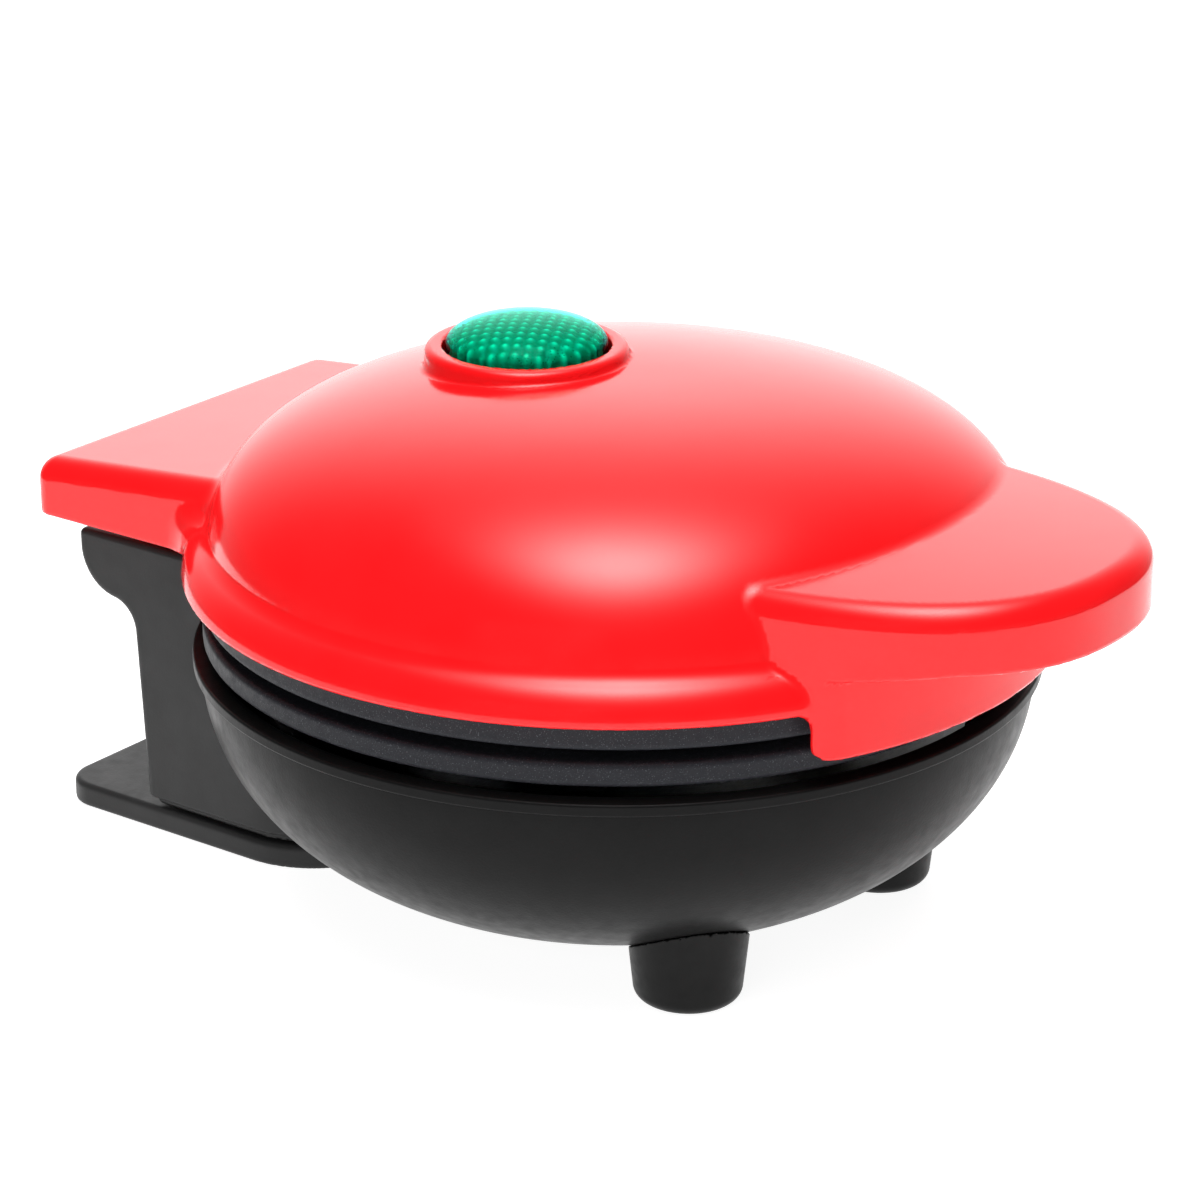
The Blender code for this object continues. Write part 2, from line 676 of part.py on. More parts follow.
def lens_retainer():
    """The ring that holds the lens's flange up."""
    low, high = FLANGE_BOTTOM_Z - RETAINER_HEIGHT, FLANGE_BOTTOM_Z - GAP
    profile = [(LENS_RADIUS - LENS_WALL, low), (RETAINER_RADIUS, low),
               (RETAINER_RADIUS, high), (LENS_RADIUS - LENS_WALL, high)]
    return turned("lens_retainer", profile, black_satin(), 20, (0.0, COLLAR_Y), closed=True)


def lamp_holder():
    """The socket that stands on the upper reflector under the lens."""
    low = UPPER_REFLECTOR_Z + REFLECTOR_SHEET + GAP
    holder = block("lamp_holder", (-HOLDER_HALF_WIDTH, COLLAR_Y - HOLDER_HALF_DEPTH, low),
                   (HOLDER_HALF_WIDTH, COLLAR_Y + HOLDER_HALF_DEPTH, low + HOLDER_HEIGHT), ceramic())
    rounded_edges(holder, 0.0006, 1, lambda middle, along: abs(along.z) > 0.9)
    return holder


def lamp():
    """The indicator lamp's bulb."""
    low = UPPER_REFLECTOR_Z + REFLECTOR_SHEET + GAP + HOLDER_HEIGHT + GAP
    profile = [(0.0, low), (LAMP_RADIUS, low)]
    profile += arc((0.0, low + LAMP_SIDE_HEIGHT), LAMP_RADIUS, 0.0, 90.0, 4)
    profile[-1] = (0.0, low + LAMP_SIDE_HEIGHT + LAMP_RADIUS)
    return turned("indicator_lamp", profile, green_lens(), 12, (0.0, COLLAR_Y))


# ---------------------------------------------------------------- cooking plates and heaters

def cooking_plate(name, face_z, rim_height, side):
    """A non-stick plate with pressed ring moulds. side is +1 when its body lies above its face."""
    finish = nonstick()

    def height(depth):
        return face_z + side * depth

    outer = COOK_RADIUS
    inner = COOK_RADIUS - COOK_RIM_WALL
    profile = [(0.0, height(0.0)), (outer, height(0.0)), (outer, height(rim_height)),
               (inner, height(rim_height)), (inner, height(COOK_SHEET)), (0.0, height(COOK_SHEET))]
    plate = turned(name, profile, finish)
    for number in range(MOULD_COUNT):
        angle = 2.0 * math.pi * (number + 0.5) / MOULD_COUNT
        centre = (MOULD_CENTRE_RADIUS * math.cos(angle), MOULD_CENTRE_RADIUS * math.sin(angle))
        back = arc((MOULD_RING_RADIUS, 0.0), MOULD_TUBE_RADIUS + MOULD_WALL, 6.0, 174.0, 4)
        back = [(radius, height(depth)) for radius, depth in back]
        join(plate, turned("back", back, finish, MOULD_STEPS, centre, closed=True))
    for number in range(MOULD_COUNT):
        angle = 2.0 * math.pi * (number + 0.5) / MOULD_COUNT
        centre = (MOULD_CENTRE_RADIUS * math.cos(angle), MOULD_CENTRE_RADIUS * math.sin(angle))
        hollow = arc((MOULD_RING_RADIUS, 0.0), MOULD_TUBE_RADIUS, -10.0, 190.0, 6)
        hollow = [(radius, height(depth)) for radius, depth in hollow]
        cut(plate, turned("hollow", hollow, finish, MOULD_STEPS, centre, closed=True))
    for x, y in post_places():
        pocket = (x, y, height(HEAD_HEIGHT + GAP))
        cut(plate, rod("pocket", (x, y, height(-0.002)), pocket, HEAD_POCKET, finish))
        cut(plate, rod("hole", (x, y, height(-0.002)), (x, y, height(0.006)), SHANK_HOLE, finish))
    return plate


def element_path(z):
    """The heater's path: a pin, a bend, the ring and the way back, and the thickness along it."""
    far = ELEMENT_RADIUS + ELEMENT_BEND
    bend_x = ELEMENT_PIN_X + ELEMENT_BEND
    bend_y = math.sqrt(far ** 2 - bend_x ** 2)
    meet = math.degrees(math.atan2(bend_y, bend_x))
    right = [(ELEMENT_PIN_X, ELEMENT_PIN_END_Y), (ELEMENT_PIN_X, bend_y + 0.0060),
             (ELEMENT_PIN_X, bend_y + 0.0052)]
    right += arc((bend_x, bend_y), ELEMENT_BEND, 180.0, 180.0 + meet, 3)
    ring = arc((0.0, 0.0), ELEMENT_RADIUS, meet, meet - (2.0 * meet + 180.0), 20)[1:-1]
    left = [(-x, y) for x, y in reversed(right)]
    points = [(x, y, z) for x, y in right + ring + left]
    thin = ELEMENT_PIN / ELEMENT_TUBE
    radii = [thin, thin] + [1.0] * (len(points) - 4) + [thin, thin]
    return points, radii


def element(name, z):
    points, radii = element_path(z)
    return tube(name, points, ELEMENT_TUBE, element_steel(), radii=radii)


def reflector(name, z, radius):
    """A dished sheet behind the heater, with a hole for each post."""
    low, high = z, z + REFLECTOR_SHEET
    profile = [(0.0, high), (radius - REFLECTOR_EDGE, high),
               (radius - REFLECTOR_SHEET, high + REFLECTOR_RISE), (radius, high + REFLECTOR_RISE),
               (radius - REFLECTOR_EDGE + 1.5 * REFLECTOR_SHEET, low), (0.0, low)]
    sheet = turned(name, profile, reflector_aluminium(), 32)
    for x, y in post_places():
        cut(sheet, rod("hole", (x, y, z - 0.002), (x, y, z + 0.004), POST_RADIUS + GAP,
                       reflector_aluminium()))
    return sheet


def thermostat(name, face_z, side):
    """A snap-disc thermostat against the middle of a plate's back."""
    near = face_z + side * (COOK_SHEET + GAP)
    flange, far = near + side * THERMOSTAT_FLANGE, near + side * THERMOSTAT_HEIGHT
    profile = [(0.0, near), (THERMOSTAT_FLANGE_RADIUS, near), (THERMOSTAT_FLANGE_RADIUS, flange),
               (THERMOSTAT_RADIUS, flange), (THERMOSTAT_RADIUS, far), (0.0, far)]
    return turned(name, profile, element_steel(), 18)


# ---------------------------------------------------------------- base

def base_bowl():
    """The lower housing: an open bowl with posts for the plate and bosses for the feet."""
    black = black_satin()
    outer = bowl_points(0.0)
    inner = [(radius, z) for radius, z in reversed(bowl_points(-BOWL_WALL))][:-1]
    rim = [(BOWL_RIM_RADIUS, BOWL_RIM_Z), (BOWL_RIM_RADIUS, BOWL_RIM_Z - BOWL_BEAD_HEIGHT),
           (BOWL_RADIUS, BOWL_RIM_Z - 2.0 * BOWL_BEAD_HEIGHT)]
    bowl = turned("base_bowl", inner + rim + outer[1:], black)

    for x, y in post_places():
        shoulder_z = LOWER_REFLECTOR_Z - GAP
        top = LOWER_FACE_Z - COOK_SHEET - GAP
        profile = [(0.0, top), (POST_RADIUS, top), (POST_RADIUS, shoulder_z),
                   (SHOULDER_RADIUS, shoulder_z), (SHOULDER_RADIUS, 0.0), (0.0, 0.0)]
        post = turned("post", profile, black, SMALL_STEPS, (x, y))
        keep_common(post, bowl_clearance(-BOWL_WALL / 2.0))
        cut(post, rod("hole", (x, y, top + 0.002), (x, y, top - 0.0130), SHANK_HOLE, black))
        join(bowl, post)
    for side in (-1.0, 1.0):
        x = side * FOOT_X
        boss = rod("boss", (x, FOOT_Y, 0.0), (x, FOOT_Y, 0.0200), FOOT_BOSS_RADIUS, black)
        keep_common(boss, bowl_clearance(-BOWL_WALL / 2.0))
        join(bowl, boss)
        cut(bowl, rod("hole", (x, FOOT_Y, 0.0), (x, FOOT_Y, 0.0180), SHANK_HOLE, black))
        seat, outward = arm_screw_line(side)
        cut(bowl, rod("hole", seat - outward * 0.002, seat + outward * 0.006, SHANK_HOLE, black))
    for row in VENT_ROWS:
        cut(bowl, block("vent", (-VENT_HALF_LENGTH, row - VENT_HALF_WIDTH, 0.0),
                        (VENT_HALF_LENGTH, row + VENT_HALF_WIDTH, 2.0 * BOWL_FLAT_Z), black))
    cut(bowl, wire_way(BASE_WIRE_WAY, black))
    return bowl


def arm_screw_line(side):
    """Where an arm screw's head rests inside the bowl, and the direction it points: square to the wall."""
    radius = bowl_radius_at(ARM_SCREW_Z)
    steep = BOWL_POWER - 1.0
    lean = Vector((radius ** steep / BOWL_RADIUS ** BOWL_POWER,
                   -(BOWL_RIM_Z - ARM_SCREW_Z) ** steep / BOWL_DEPTH ** BOWL_POWER)).normalized()
    flat = Vector((side * math.sin(ARM_SCREW_ANGLE), math.cos(ARM_SCREW_ANGLE), 0.0))
    outward = (flat * lean.x + Vector((0.0, 0.0, lean.y))).normalized()
    on_wall = flat * radius + Vector((0.0, 0.0, ARM_SCREW_Z))
    return on_wall - outward * (BOWL_WALL + 2.0 * GAP), outward


def rear_arm():
    """The hollow upright behind the bowl, which carries the hinge pin."""
    black = black_satin()
    arm = extruded("rear_arm", arm_outline(0.0), -ARM_HALF_WIDTH, ARM_HALF_WIDTH, black, "X")
    rounded_edges(arm, 0.0010, 2, lambda middle, along: abs(abs(middle.x) - ARM_HALF_WIDTH) < 1e-5
                  and middle.y > ARM_FRONT_Y + 0.001 and middle.z > ARM_BOTTOM_Z + 1e-5)
    keep_common(arm, arm_footprint(0.0))
    cavity = extruded("cavity", arm_outline(ARM_WALL), -ARM_HALF_WIDTH + ARM_WALL,
                      ARM_HALF_WIDTH - ARM_WALL, black, "X")
    keep_common(cavity, arm_footprint(ARM_WALL))
    cut(cavity, bowl_clearance(ARM_WALL + GAP))
    cut(arm, cavity)
    cut(arm, bowl_clearance(GAP))

    inside = ARM_HALF_WIDTH - ARM_WALL
    for side in (-1.0, 1.0):
        middle = side * (inside - ARM_WALL / 2.0)
        cheek = extruded("cheek", arc((HINGE_Y, HINGE_Z), CHEEK_RADIUS, 0.0, 360.0, 16)[:-1],
                         middle - CHEEK_HALF_WIDTH, middle + CHEEK_HALF_WIDTH, black, "X")
        cut(cheek, block("level", (-ARM_HALF_WIDTH, ARM_FOOT_Y - CHEEK_RADIUS, ARM_TOP_Z),
                         (ARM_HALF_WIDTH, PLATE_REAR_Y, ARM_TOP_Z + CHEEK_RADIUS), black))
        join(arm, cheek)
        slot_half = LUG_HALF_WIDTH + SLOT_SIDE_GAP
        cut(arm, block("slot", (side * LUG_X - slot_half, HINGE_Y, SLOT_BOTTOM_Z),
                       (side * LUG_X + slot_half, PLATE_REAR_Y, LEDGE_REAR_TOP_Z), black))
        for x, y, top in plate_screw_places(side):
            join(arm, rod("boss", (x, y, ARM_BOTTOM_Z + 0.00001), (x, y, top), PLATE_BOSS_RADIUS, black))
            cut(arm, rod("hole", (x, y, 0.0), (x, y, top - 0.0012), SHANK_HOLE, black))
        seat, outward = arm_screw_line(side)
        cut(arm, rod("hole", seat - outward * 0.002, seat + outward * 0.009, SHANK_HOLE, black))
    pin_reach = PIN_HALF_LENGTH + GAP
    cut(arm, rod("pin_way", (-pin_reach, HINGE_Y, HINGE_Z), (pin_reach, HINGE_Y, HINGE_Z), PIN_HOLE, black))
    cut(arm, wire_way(BASE_WIRE_WAY, black))
    cut(arm, rod("gland_way", (0.0, ARM_FOOT_Y - GLAND_NECK_LENGTH, GLAND_Z),
                 (0.0, ARM_FOOT_Y + GLAND_NECK_LENGTH, GLAND_Z), GLAND_HOLE, black, 16))
    return arm


def arm_footprint(inset):
    """A block with the foot plate's rounded front corners, which the arm stays within."""
    outline = rounded_rectangle(PLATE_HALF_WIDTH - inset, PLATE_FRONT_Y + inset, 0.100,
                                PLATE_FRONT_CORNER - inset, 0.001, 5)
    return extruded("footprint", outline, 0.0, 0.060, black_satin())


def bowl_clearance(growth):
    """The space round the bowl and the plates that the arm keeps out of."""
    reach = ARM_CLEAR_RADIUS - GAP + growth
    profile = [(0.0, 0.060), (reach, 0.060), (reach, BOWL_RIM_Z)]
    profile += bowl_points(growth)[1:]
    return turned("clearance", profile, black_satin())


def plate_screw_places(side):
    """The foot plate's two screws on one side, with the top of the boss each one goes into."""
    return [(side * x, y, top) for x, y, top in PLATE_SCREWS]


def foot_plate():
    """The flat plate under the arm, which closes it and is the rear foot."""
    black = black_satin()
    outline = rounded_rectangle(PLATE_HALF_WIDTH, PLATE_FRONT_Y, PLATE_REAR_Y,
                                PLATE_FRONT_CORNER, PLATE_REAR_CORNER)
    plate = extruded("foot_plate", outline, 0.0, PLATE_TOP_Z, black)
    rounded_edges(plate, 0.0007, 1, lambda middle, along: abs(along.z) < 0.5)
    for side in (-1.0, 1.0):
        for x, y, _ in plate_screw_places(side):
            cut(plate, rod("pocket", (x, y, -0.001), (x, y, PLATE_POCKET_Z), HEAD_POCKET, black))
            cut(plate, rod("hole", (x, y, -0.001), (x, y, PLATE_TOP_Z + 0.001), SHANK_HOLE, black))
    return plate


def rubber_foot(name, side):
    """A front foot, shaped to the bowl above it and recessed for its screw."""
    rubber = black_rubber()
    x = side * FOOT_X
    profile = [(0.0, 0.0)]
    profile += arc((FOOT_BOTTOM_RADIUS - FOOT_EDGE, FOOT_EDGE), FOOT_EDGE, -90.0, 0.0, 3)
    profile += [(FOOT_TOP_RADIUS, FOOT_TOP_Z), (0.0, FOOT_TOP_Z)]
    foot = turned(name, profile, rubber, 24, (x, FOOT_Y))
    cut(foot, turned("bowl", [(0.0, ARM_TOP_Z), (ARM_CLEAR_RADIUS, ARM_TOP_Z)] + bowl_points(GAP), rubber))
    cut(foot, rod("pocket", (x, FOOT_Y, -0.001), (x, FOOT_Y, FOOT_POCKET_Z), HEAD_POCKET, rubber))
    cut(foot, rod("hole", (x, FOOT_Y, -0.001), (x, FOOT_Y, FOOT_TOP_Z + 0.001), SHANK_HOLE, rubber))
    return foot


def hinge_pin():
    return rod("hinge_pin", (-PIN_HALF_LENGTH, HINGE_Y, HINGE_Z), (PIN_HALF_LENGTH, HINGE_Y, HINGE_Z),
               PIN_RADIUS, bright_steel(), 16)


def cord_gland():
    """The bush in the arm's rear wall that a cord would come out of."""
    outer_face = ARM_NECK_Y + 0.0004
    end = GLAND_NECK_LENGTH + GLAND_HEAD_LENGTH
    profile = [(GLAND_WAY, 0.0), (GLAND_NECK, 0.0), (GLAND_NECK, GLAND_NECK_LENGTH),
               (GLAND_HEAD, GLAND_NECK_LENGTH), (GLAND_HEAD, end - GLAND_EDGE),
               (GLAND_HEAD - GLAND_EDGE, end), (GLAND_WAY, end)]
    gland = turned("cord_gland", profile, black_rubber(), 16, closed=True)
    turn = Matrix.Rotation(-math.pi / 2.0, 4, "X")
    gland.data.transform(Matrix.Translation((0.0, outer_face - GLAND_NECK_LENGTH, GLAND_Z)) @ turn)
    return gland


def terminal_block():
    """The two-way block on the foot plate where the cord's cores meet the inner leads."""
    low = PLATE_TOP_Z + GAP
    made = block("terminal_block", (-TERMINAL_HALF_WIDTH, TERMINAL_FRONT_Y, low),
                 (TERMINAL_HALF_WIDTH, TERMINAL_REAR_Y, low + TERMINAL_HEIGHT), ceramic())
    for side in (-1.0, 1.0):
        x = side * TERMINAL_X
        cut(made, rod("way", (x, TERMINAL_Y, low + 0.0030), (x, TERMINAL_Y, low + TERMINAL_HEIGHT + 0.001),
                      TERMINAL_WAY, ceramic()))
    return made


def thermal_fuse():
    """The cut-out that lies in the gap between two moulds, under the lower plate."""
    z = LOWER_FACE_Z - COOK_SHEET - GAP - FUSE_RADIUS
    return rod("thermal_fuse", (0.0, FUSE_FRONT_Y, z), (0.0, FUSE_REAR_Y, z), FUSE_RADIUS, ceramic())


def lower_lead(name, side):
    """One lead from the terminal block up to a pin of the lower heater."""
    z = LOWER_FACE_Z - ELEMENT_DROP
    points = [(side * TERMINAL_X, TERMINAL_Y, 0.0078), (side * TERMINAL_X, 0.0618, 0.0150),
              (side * 0.0058, 0.0585, 0.0228), (side * ELEMENT_PIN_X, 0.0535, z - 0.0052),
              (side * ELEMENT_PIN_X, ELEMENT_PIN_END_Y + 0.0020, z),
              (side * ELEMENT_PIN_X, ELEMENT_PIN_END_Y + 2.0 * GAP, z)]
    return tube(name, points, LEAD_RADIUS, lead_sleeve(), smooth=True)


def upper_lead(name, side):
    """One lead in the lid, from behind the hinge wall to a pin of the upper heater."""
    z = UPPER_FACE_Z + ELEMENT_DROP
    points = [(side * 0.0040, 0.0690, 0.0530), (side * 0.0045, 0.0650, 0.0548),
              (side * 0.0055, 0.0595, 0.0552), (side * ELEMENT_PIN_X, 0.0555, 0.0575),
              (side * ELEMENT_PIN_X, ELEMENT_PIN_END_Y + 0.0020, z),
              (side * ELEMENT_PIN_X, ELEMENT_PIN_END_Y + 2.0 * GAP, z)]
    return tube(name, points, LEAD_RADIUS, lead_sleeve(), smooth=True)


# ---------------------------------------------------------------- assembly

def empty(name, location, parent=None):
    made = bpy.data.objects.new(name, None)
    made.empty_display_size = 0.01
    made.location = location
    made.parent = parent
    bpy.context.scene.collection.objects.link(made)
    return made


def build_base():
    pieces = [base_bowl(), rear_arm(), foot_plate(), hinge_pin(), cord_gland(), terminal_block(),
              thermal_fuse(), reflector("lower_reflector", LOWER_REFLECTOR_Z, LOWER_REFLECTOR_RADIUS),
              cooking_plate("lower_plate", LOWER_FACE_Z, LOWER_RIM_HEIGHT, -1.0),
              element("lower_element", LOWER_FACE_Z - ELEMENT_DROP),
              thermostat("lower_thermostat", LOWER_FACE_Z, -1.0)]
    for word, side in (("left", -1.0), ("right", 1.0)):
        x = side * FOOT_X
        pieces.append(rubber_foot("rubber_foot_" + word, side))
        pieces.append(screw("foot_screw_" + word, (x, FOOT_Y, FOOT_POCKET_Z - GAP), (0, 0, 1),
                            FOOT_SCREW_LENGTH))
        seat, outward = arm_screw_line(side)
        pieces.append(screw("arm_screw_" + word, seat, outward, ARM_SCREW_LENGTH))
        pieces.append(lower_lead("lower_lead_" + word, side))
        for number, (x, y, top) in enumerate(plate_screw_places(side), 1):
            name = "foot_plate_screw_%s_%d" % (word, number)
            pieces.append(screw(name, (x, y, PLATE_POCKET_Z - GAP), (0, 0, 1),
                                top - 2.0 * PLATE_POCKET_Z))
    for number, (x, y) in enumerate(post_places(), 1):
        seat = (x, y, LOWER_FACE_Z - HEAD_HEIGHT)
        pieces.append(screw("lower_plate_screw_%d" % number, seat, (0, 0, -1), PLATE_SCREW_LENGTH))
    return pieces


def build_lid():
    pieces = [lid_shell(), lens(), lens_retainer(), lamp_holder(), lamp(),
              cooking_plate("upper_plate", UPPER_FACE_Z, UPPER_RIM_HEIGHT, 1.0),
              element("upper_element", UPPER_FACE_Z + ELEMENT_DROP),
              reflector("upper_reflector", UPPER_REFLECTOR_Z, UPPER_REFLECTOR_RADIUS),
              thermostat("upper_thermostat", UPPER_FACE_Z, 1.0)]
    for word, side in (("left", -1.0), ("right", 1.0)):
        pieces.append(upper_lead("upper_lead_" + word, side))
    for number, (x, y) in enumerate(post_places(), 1):
        seat = (x, y, UPPER_FACE_Z + HEAD_HEIGHT)
        pieces.append(screw("upper_plate_screw_%d" % number, seat, (0, 0, 1), PLATE_SCREW_LENGTH))
    return pieces


def main():
    for old in list(bpy.data.objects):
        bpy.data.objects.remove(old, do_unlink=True)
    base = empty("base_frame", (0.0, BODY_Y, 0.0))
    pivot = empty("lid_pivot", (0.0, HINGE_Y, HINGE_Z), base)
    for piece in build_base():
        piece.parent = base
    for piece in build_lid():
        piece.parent = pivot
        piece.location = (0.0, -HINGE_Y, -HINGE_Z)


main()
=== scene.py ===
"""Looks of the small electric donut maker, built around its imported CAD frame.

Each shell is described as a field, the signed distance to its skin in millimetres, so that every
fillet and rounded edge is real geometry. A field's Z axis is the bowl's own axis, its Z = 0 is the
surface the maker stands on, and the handle points along -Y. The last argument of round_max, round_min,
carve and slab is the radius of the edge or the fillet that they leave. The main sizes and places are
read from the boxes of the CAD nodes.
"""
import math

import bmesh
import bpy
import numpy as np
from mathutils import Matrix, Vector


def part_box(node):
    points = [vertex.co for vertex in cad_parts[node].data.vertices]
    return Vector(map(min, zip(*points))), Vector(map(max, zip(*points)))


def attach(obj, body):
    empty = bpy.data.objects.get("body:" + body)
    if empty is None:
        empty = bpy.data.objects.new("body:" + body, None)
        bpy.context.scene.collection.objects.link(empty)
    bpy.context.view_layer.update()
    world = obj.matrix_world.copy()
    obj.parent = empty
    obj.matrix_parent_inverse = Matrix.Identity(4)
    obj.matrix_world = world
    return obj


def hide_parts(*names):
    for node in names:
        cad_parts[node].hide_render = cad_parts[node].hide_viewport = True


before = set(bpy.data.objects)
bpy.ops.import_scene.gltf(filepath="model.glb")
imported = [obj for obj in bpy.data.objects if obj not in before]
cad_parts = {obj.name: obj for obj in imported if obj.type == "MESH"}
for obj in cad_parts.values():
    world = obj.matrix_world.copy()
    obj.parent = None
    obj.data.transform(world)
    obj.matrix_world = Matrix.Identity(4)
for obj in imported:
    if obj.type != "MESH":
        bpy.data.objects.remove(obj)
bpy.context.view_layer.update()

MM = 0.001
bowl_low, bowl_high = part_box("base_bowl")
BODY_Y = (bowl_low.y + bowl_high.y) / 2.0 / MM
COARSE = 1.0


def corners(node):
    """The two corners of a CAD node's box, in millimetres about the bowl's axis."""
    return [np.round(np.array(corner) / MM - np.array((0.0, BODY_Y, 0.0)), 2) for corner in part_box(node)]


def middle(node):
    """The middle of a CAD node's box, in millimetres about the bowl's axis."""
    return np.round(sum(corners(node)) / 2.0, 2)


# ---------------------------------------------------------------- field tools

LEAST_LEVEL, LEAST_SLOPE = 0.05, 1e-4


def round_max(a, b, radius):
    """The common part of two solids, with its edge rounded."""
    return (np.minimum(np.maximum(a, b), -radius)
            + np.hypot(np.maximum(a + radius, 0.0), np.maximum(b + radius, 0.0)))


def round_min(a, b, radius):
    """Two solids joined, with a fillet between them."""
    return (np.maximum(np.minimum(a, b), radius)
            - np.hypot(np.maximum(radius - a, 0.0), np.maximum(radius - b, 0.0)))


def carve(solid, tool, radius):
    """A solid with a tool taken out of it, and the edge rounded."""
    return round_max(solid, -tool, radius)


def superellipse(u, v, half_u, half_v, power):
    """First-order distance to a superellipse, held steady near its middle."""
    p = np.abs(u) / half_u
    q = np.abs(v) / half_v
    level = np.maximum((p ** power + q ** power) ** (1.0 / power), LEAST_LEVEL)
    slope_u = level ** (1.0 - power) * p ** (power - 1.0) / half_u
    slope_v = level ** (1.0 - power) * q ** (power - 1.0) / half_v
    return (level - 1.0) / np.maximum(np.hypot(slope_u, slope_v), LEAST_SLOPE)


def slab(value, low, high, radius):
    """The space between two heights."""
    return round_max(low - value, value - high, radius)


def blend_step(value, low, high):
    """0 below low, 1 above high, and smooth between."""
    t = np.clip((value - low) / (high - low), 0.0, 1.0)
    return t * t * (3.0 - 2.0 * t)


# ---------------------------------------------------------------- from a field to a mesh

BLOCK, BLOCK_REACH, BATCH = 4, 1.9, 400000
LEAST_SLOPE_SQUARED, LONGEST_MOVE = 0.05, 0.6
SLOPE_REACH = 0.02
GRID_SHIFT = 0.13


def widen(blocks, counts):
    """One value a block, repeated for every grid point in the block."""
    for axis in range(3):
        blocks = np.repeat(blocks, BLOCK, axis)
    return np.ascontiguousarray(blocks[:counts[0], :counts[1], :counts[2]])


def sample_field(field, axes):
    """The field on a grid. Blocks that the skin can't reach get one rough value."""
    counts = [len(axis) for axis in axes]
    spacing = axes[0][1] - axes[0][0]
    coarse = field(*np.meshgrid(*[axis[::BLOCK] for axis in axes], indexing="ij"))
    values = widen(coarse, counts)
    i, j, k = np.nonzero(widen(np.abs(coarse) < spacing * BLOCK * BLOCK_REACH, counts))
    for start in range(0, len(i), BATCH):
        part = slice(start, start + BATCH)
        values[i[part], j[part], k[part]] = field(axes[0][i[part]], axes[1][j[part]], axes[2][k[part]])
    return values


def cells_on_skin(inside):
    """The grid cells that the skin passes through, and their numbers laid out as a grid."""
    counts = np.array(inside.shape) - 1
    filled = np.zeros(tuple(counts), np.uint8)
    for a, b, c in np.ndindex(2, 2, 2):
        filled += inside[a:a + counts[0], b:b + counts[1], c:c + counts[2]]
    cells = np.argwhere((filled > 0) & (filled < 8))
    index = np.full(tuple(counts), -1, np.int64)
    index[tuple(cells.T)] = np.arange(len(cells))
    return cells, index


def cell_points(values, axes, cells):
    """For each cell, the middle of the places where the skin crosses its edges."""
    total = np.zeros((len(cells), 3))
    number = np.zeros(len(cells))
    for axis in range(3):
        others = [n for n in range(3) if n != axis]
        for shift in np.ndindex(2, 2):
            low = cells.copy()
            low[:, others] += shift
            high = low.copy()
            high[:, axis] += 1
            v0 = values[tuple(low.T)]
            v1 = values[tuple(high.T)]
            hit = (v0 < 0.0) != (v1 < 0.0)
            place = low.astype(float)
            place[:, axis] += np.where(hit, v0 / np.where(hit, v0 - v1, 1.0), 0.0)
            total += place * hit[:, None]
            number += hit
    spacing = np.array([axis[1] - axis[0] for axis in axes])
    first = np.array([axis[0] for axis in axes])
    return total / number[:, None] * spacing + first


def cell_quads(inside, index):
    """For each grid edge that the skin crosses, a quad through the four cells round it."""
    quads = []
    for axis in range(3):
        others = [n for n in range(3) if n != axis]
        low = [slice(1, n) for n in index.shape]
        low[axis] = slice(0, index.shape[axis])
        high = list(low)
        high[axis] = slice(1, index.shape[axis] + 1)
        before, after = inside[tuple(low)], inside[tuple(high)]
        crossing = np.argwhere(before != after)
        leaving = before[tuple(crossing.T)]
        crossing[:, others] += 1
        ring = []
        for shift in ((0, 0), (-1, 0), (-1, -1), (0, -1)):
            cell = crossing.copy()
            cell[:, others] += shift
            ring.append(index[tuple(cell.T)])
        quad = np.stack(ring, 1)
        flip = leaving if axis == 1 else ~leaving
        quad[flip] = quad[flip][:, ::-1]
        quads.append(quad)
    return np.concatenate(quads)


def slope(field, points):
    """The field's gradient at points."""
    result = np.empty_like(points)
    for axis in range(3):
        step = np.zeros(3)
        step[axis] = SLOPE_REACH
        high = field(*(points + step).T)
        low = field(*(points - step).T)
        result[:, axis] = (high - low) / (2.0 * SLOPE_REACH)
    return result


def unit_slope(field, points):
    """The field's gradient at points, one long: the skin's normals."""
    way = slope(field, points)
    return way / np.maximum(np.linalg.norm(way, axis=1), 1e-6)[:, None]


def settle(field, points, spacing, rounds):
    """Move points onto the skin."""
    for _ in range(rounds):
        value = field(*points.T)
        way = slope(field, points)
        move = -value[:, None] * way / np.maximum((way ** 2).sum(1), LEAST_SLOPE_SQUARED)[:, None]
        length = np.linalg.norm(move, axis=1)
        move *= np.minimum(1.0, LONGEST_MOVE * spacing / np.maximum(length, 1e-9))[:, None]
        points = points + move
    return points


def even_out(field, points, quads, spacing, rounds):
    """Slide points along the skin until they are evenly spread."""
    starts = np.concatenate([quads[:, n] for n in range(4)])
    ends = np.concatenate([quads[:, (n + 1) % 4] for n in range(4)])
    number = np.maximum(np.bincount(starts, minlength=len(points)), 1)[:, None]
    for _ in range(rounds):
        mean = np.stack([np.bincount(starts, points[ends, n], len(points)) for n in range(3)], 1) / number
        way = unit_slope(field, points)
        move = (mean - points) * 0.5
        move -= (move * way).sum(1)[:, None] * way
        points = settle(field, points + move, spacing, 1)
    return points


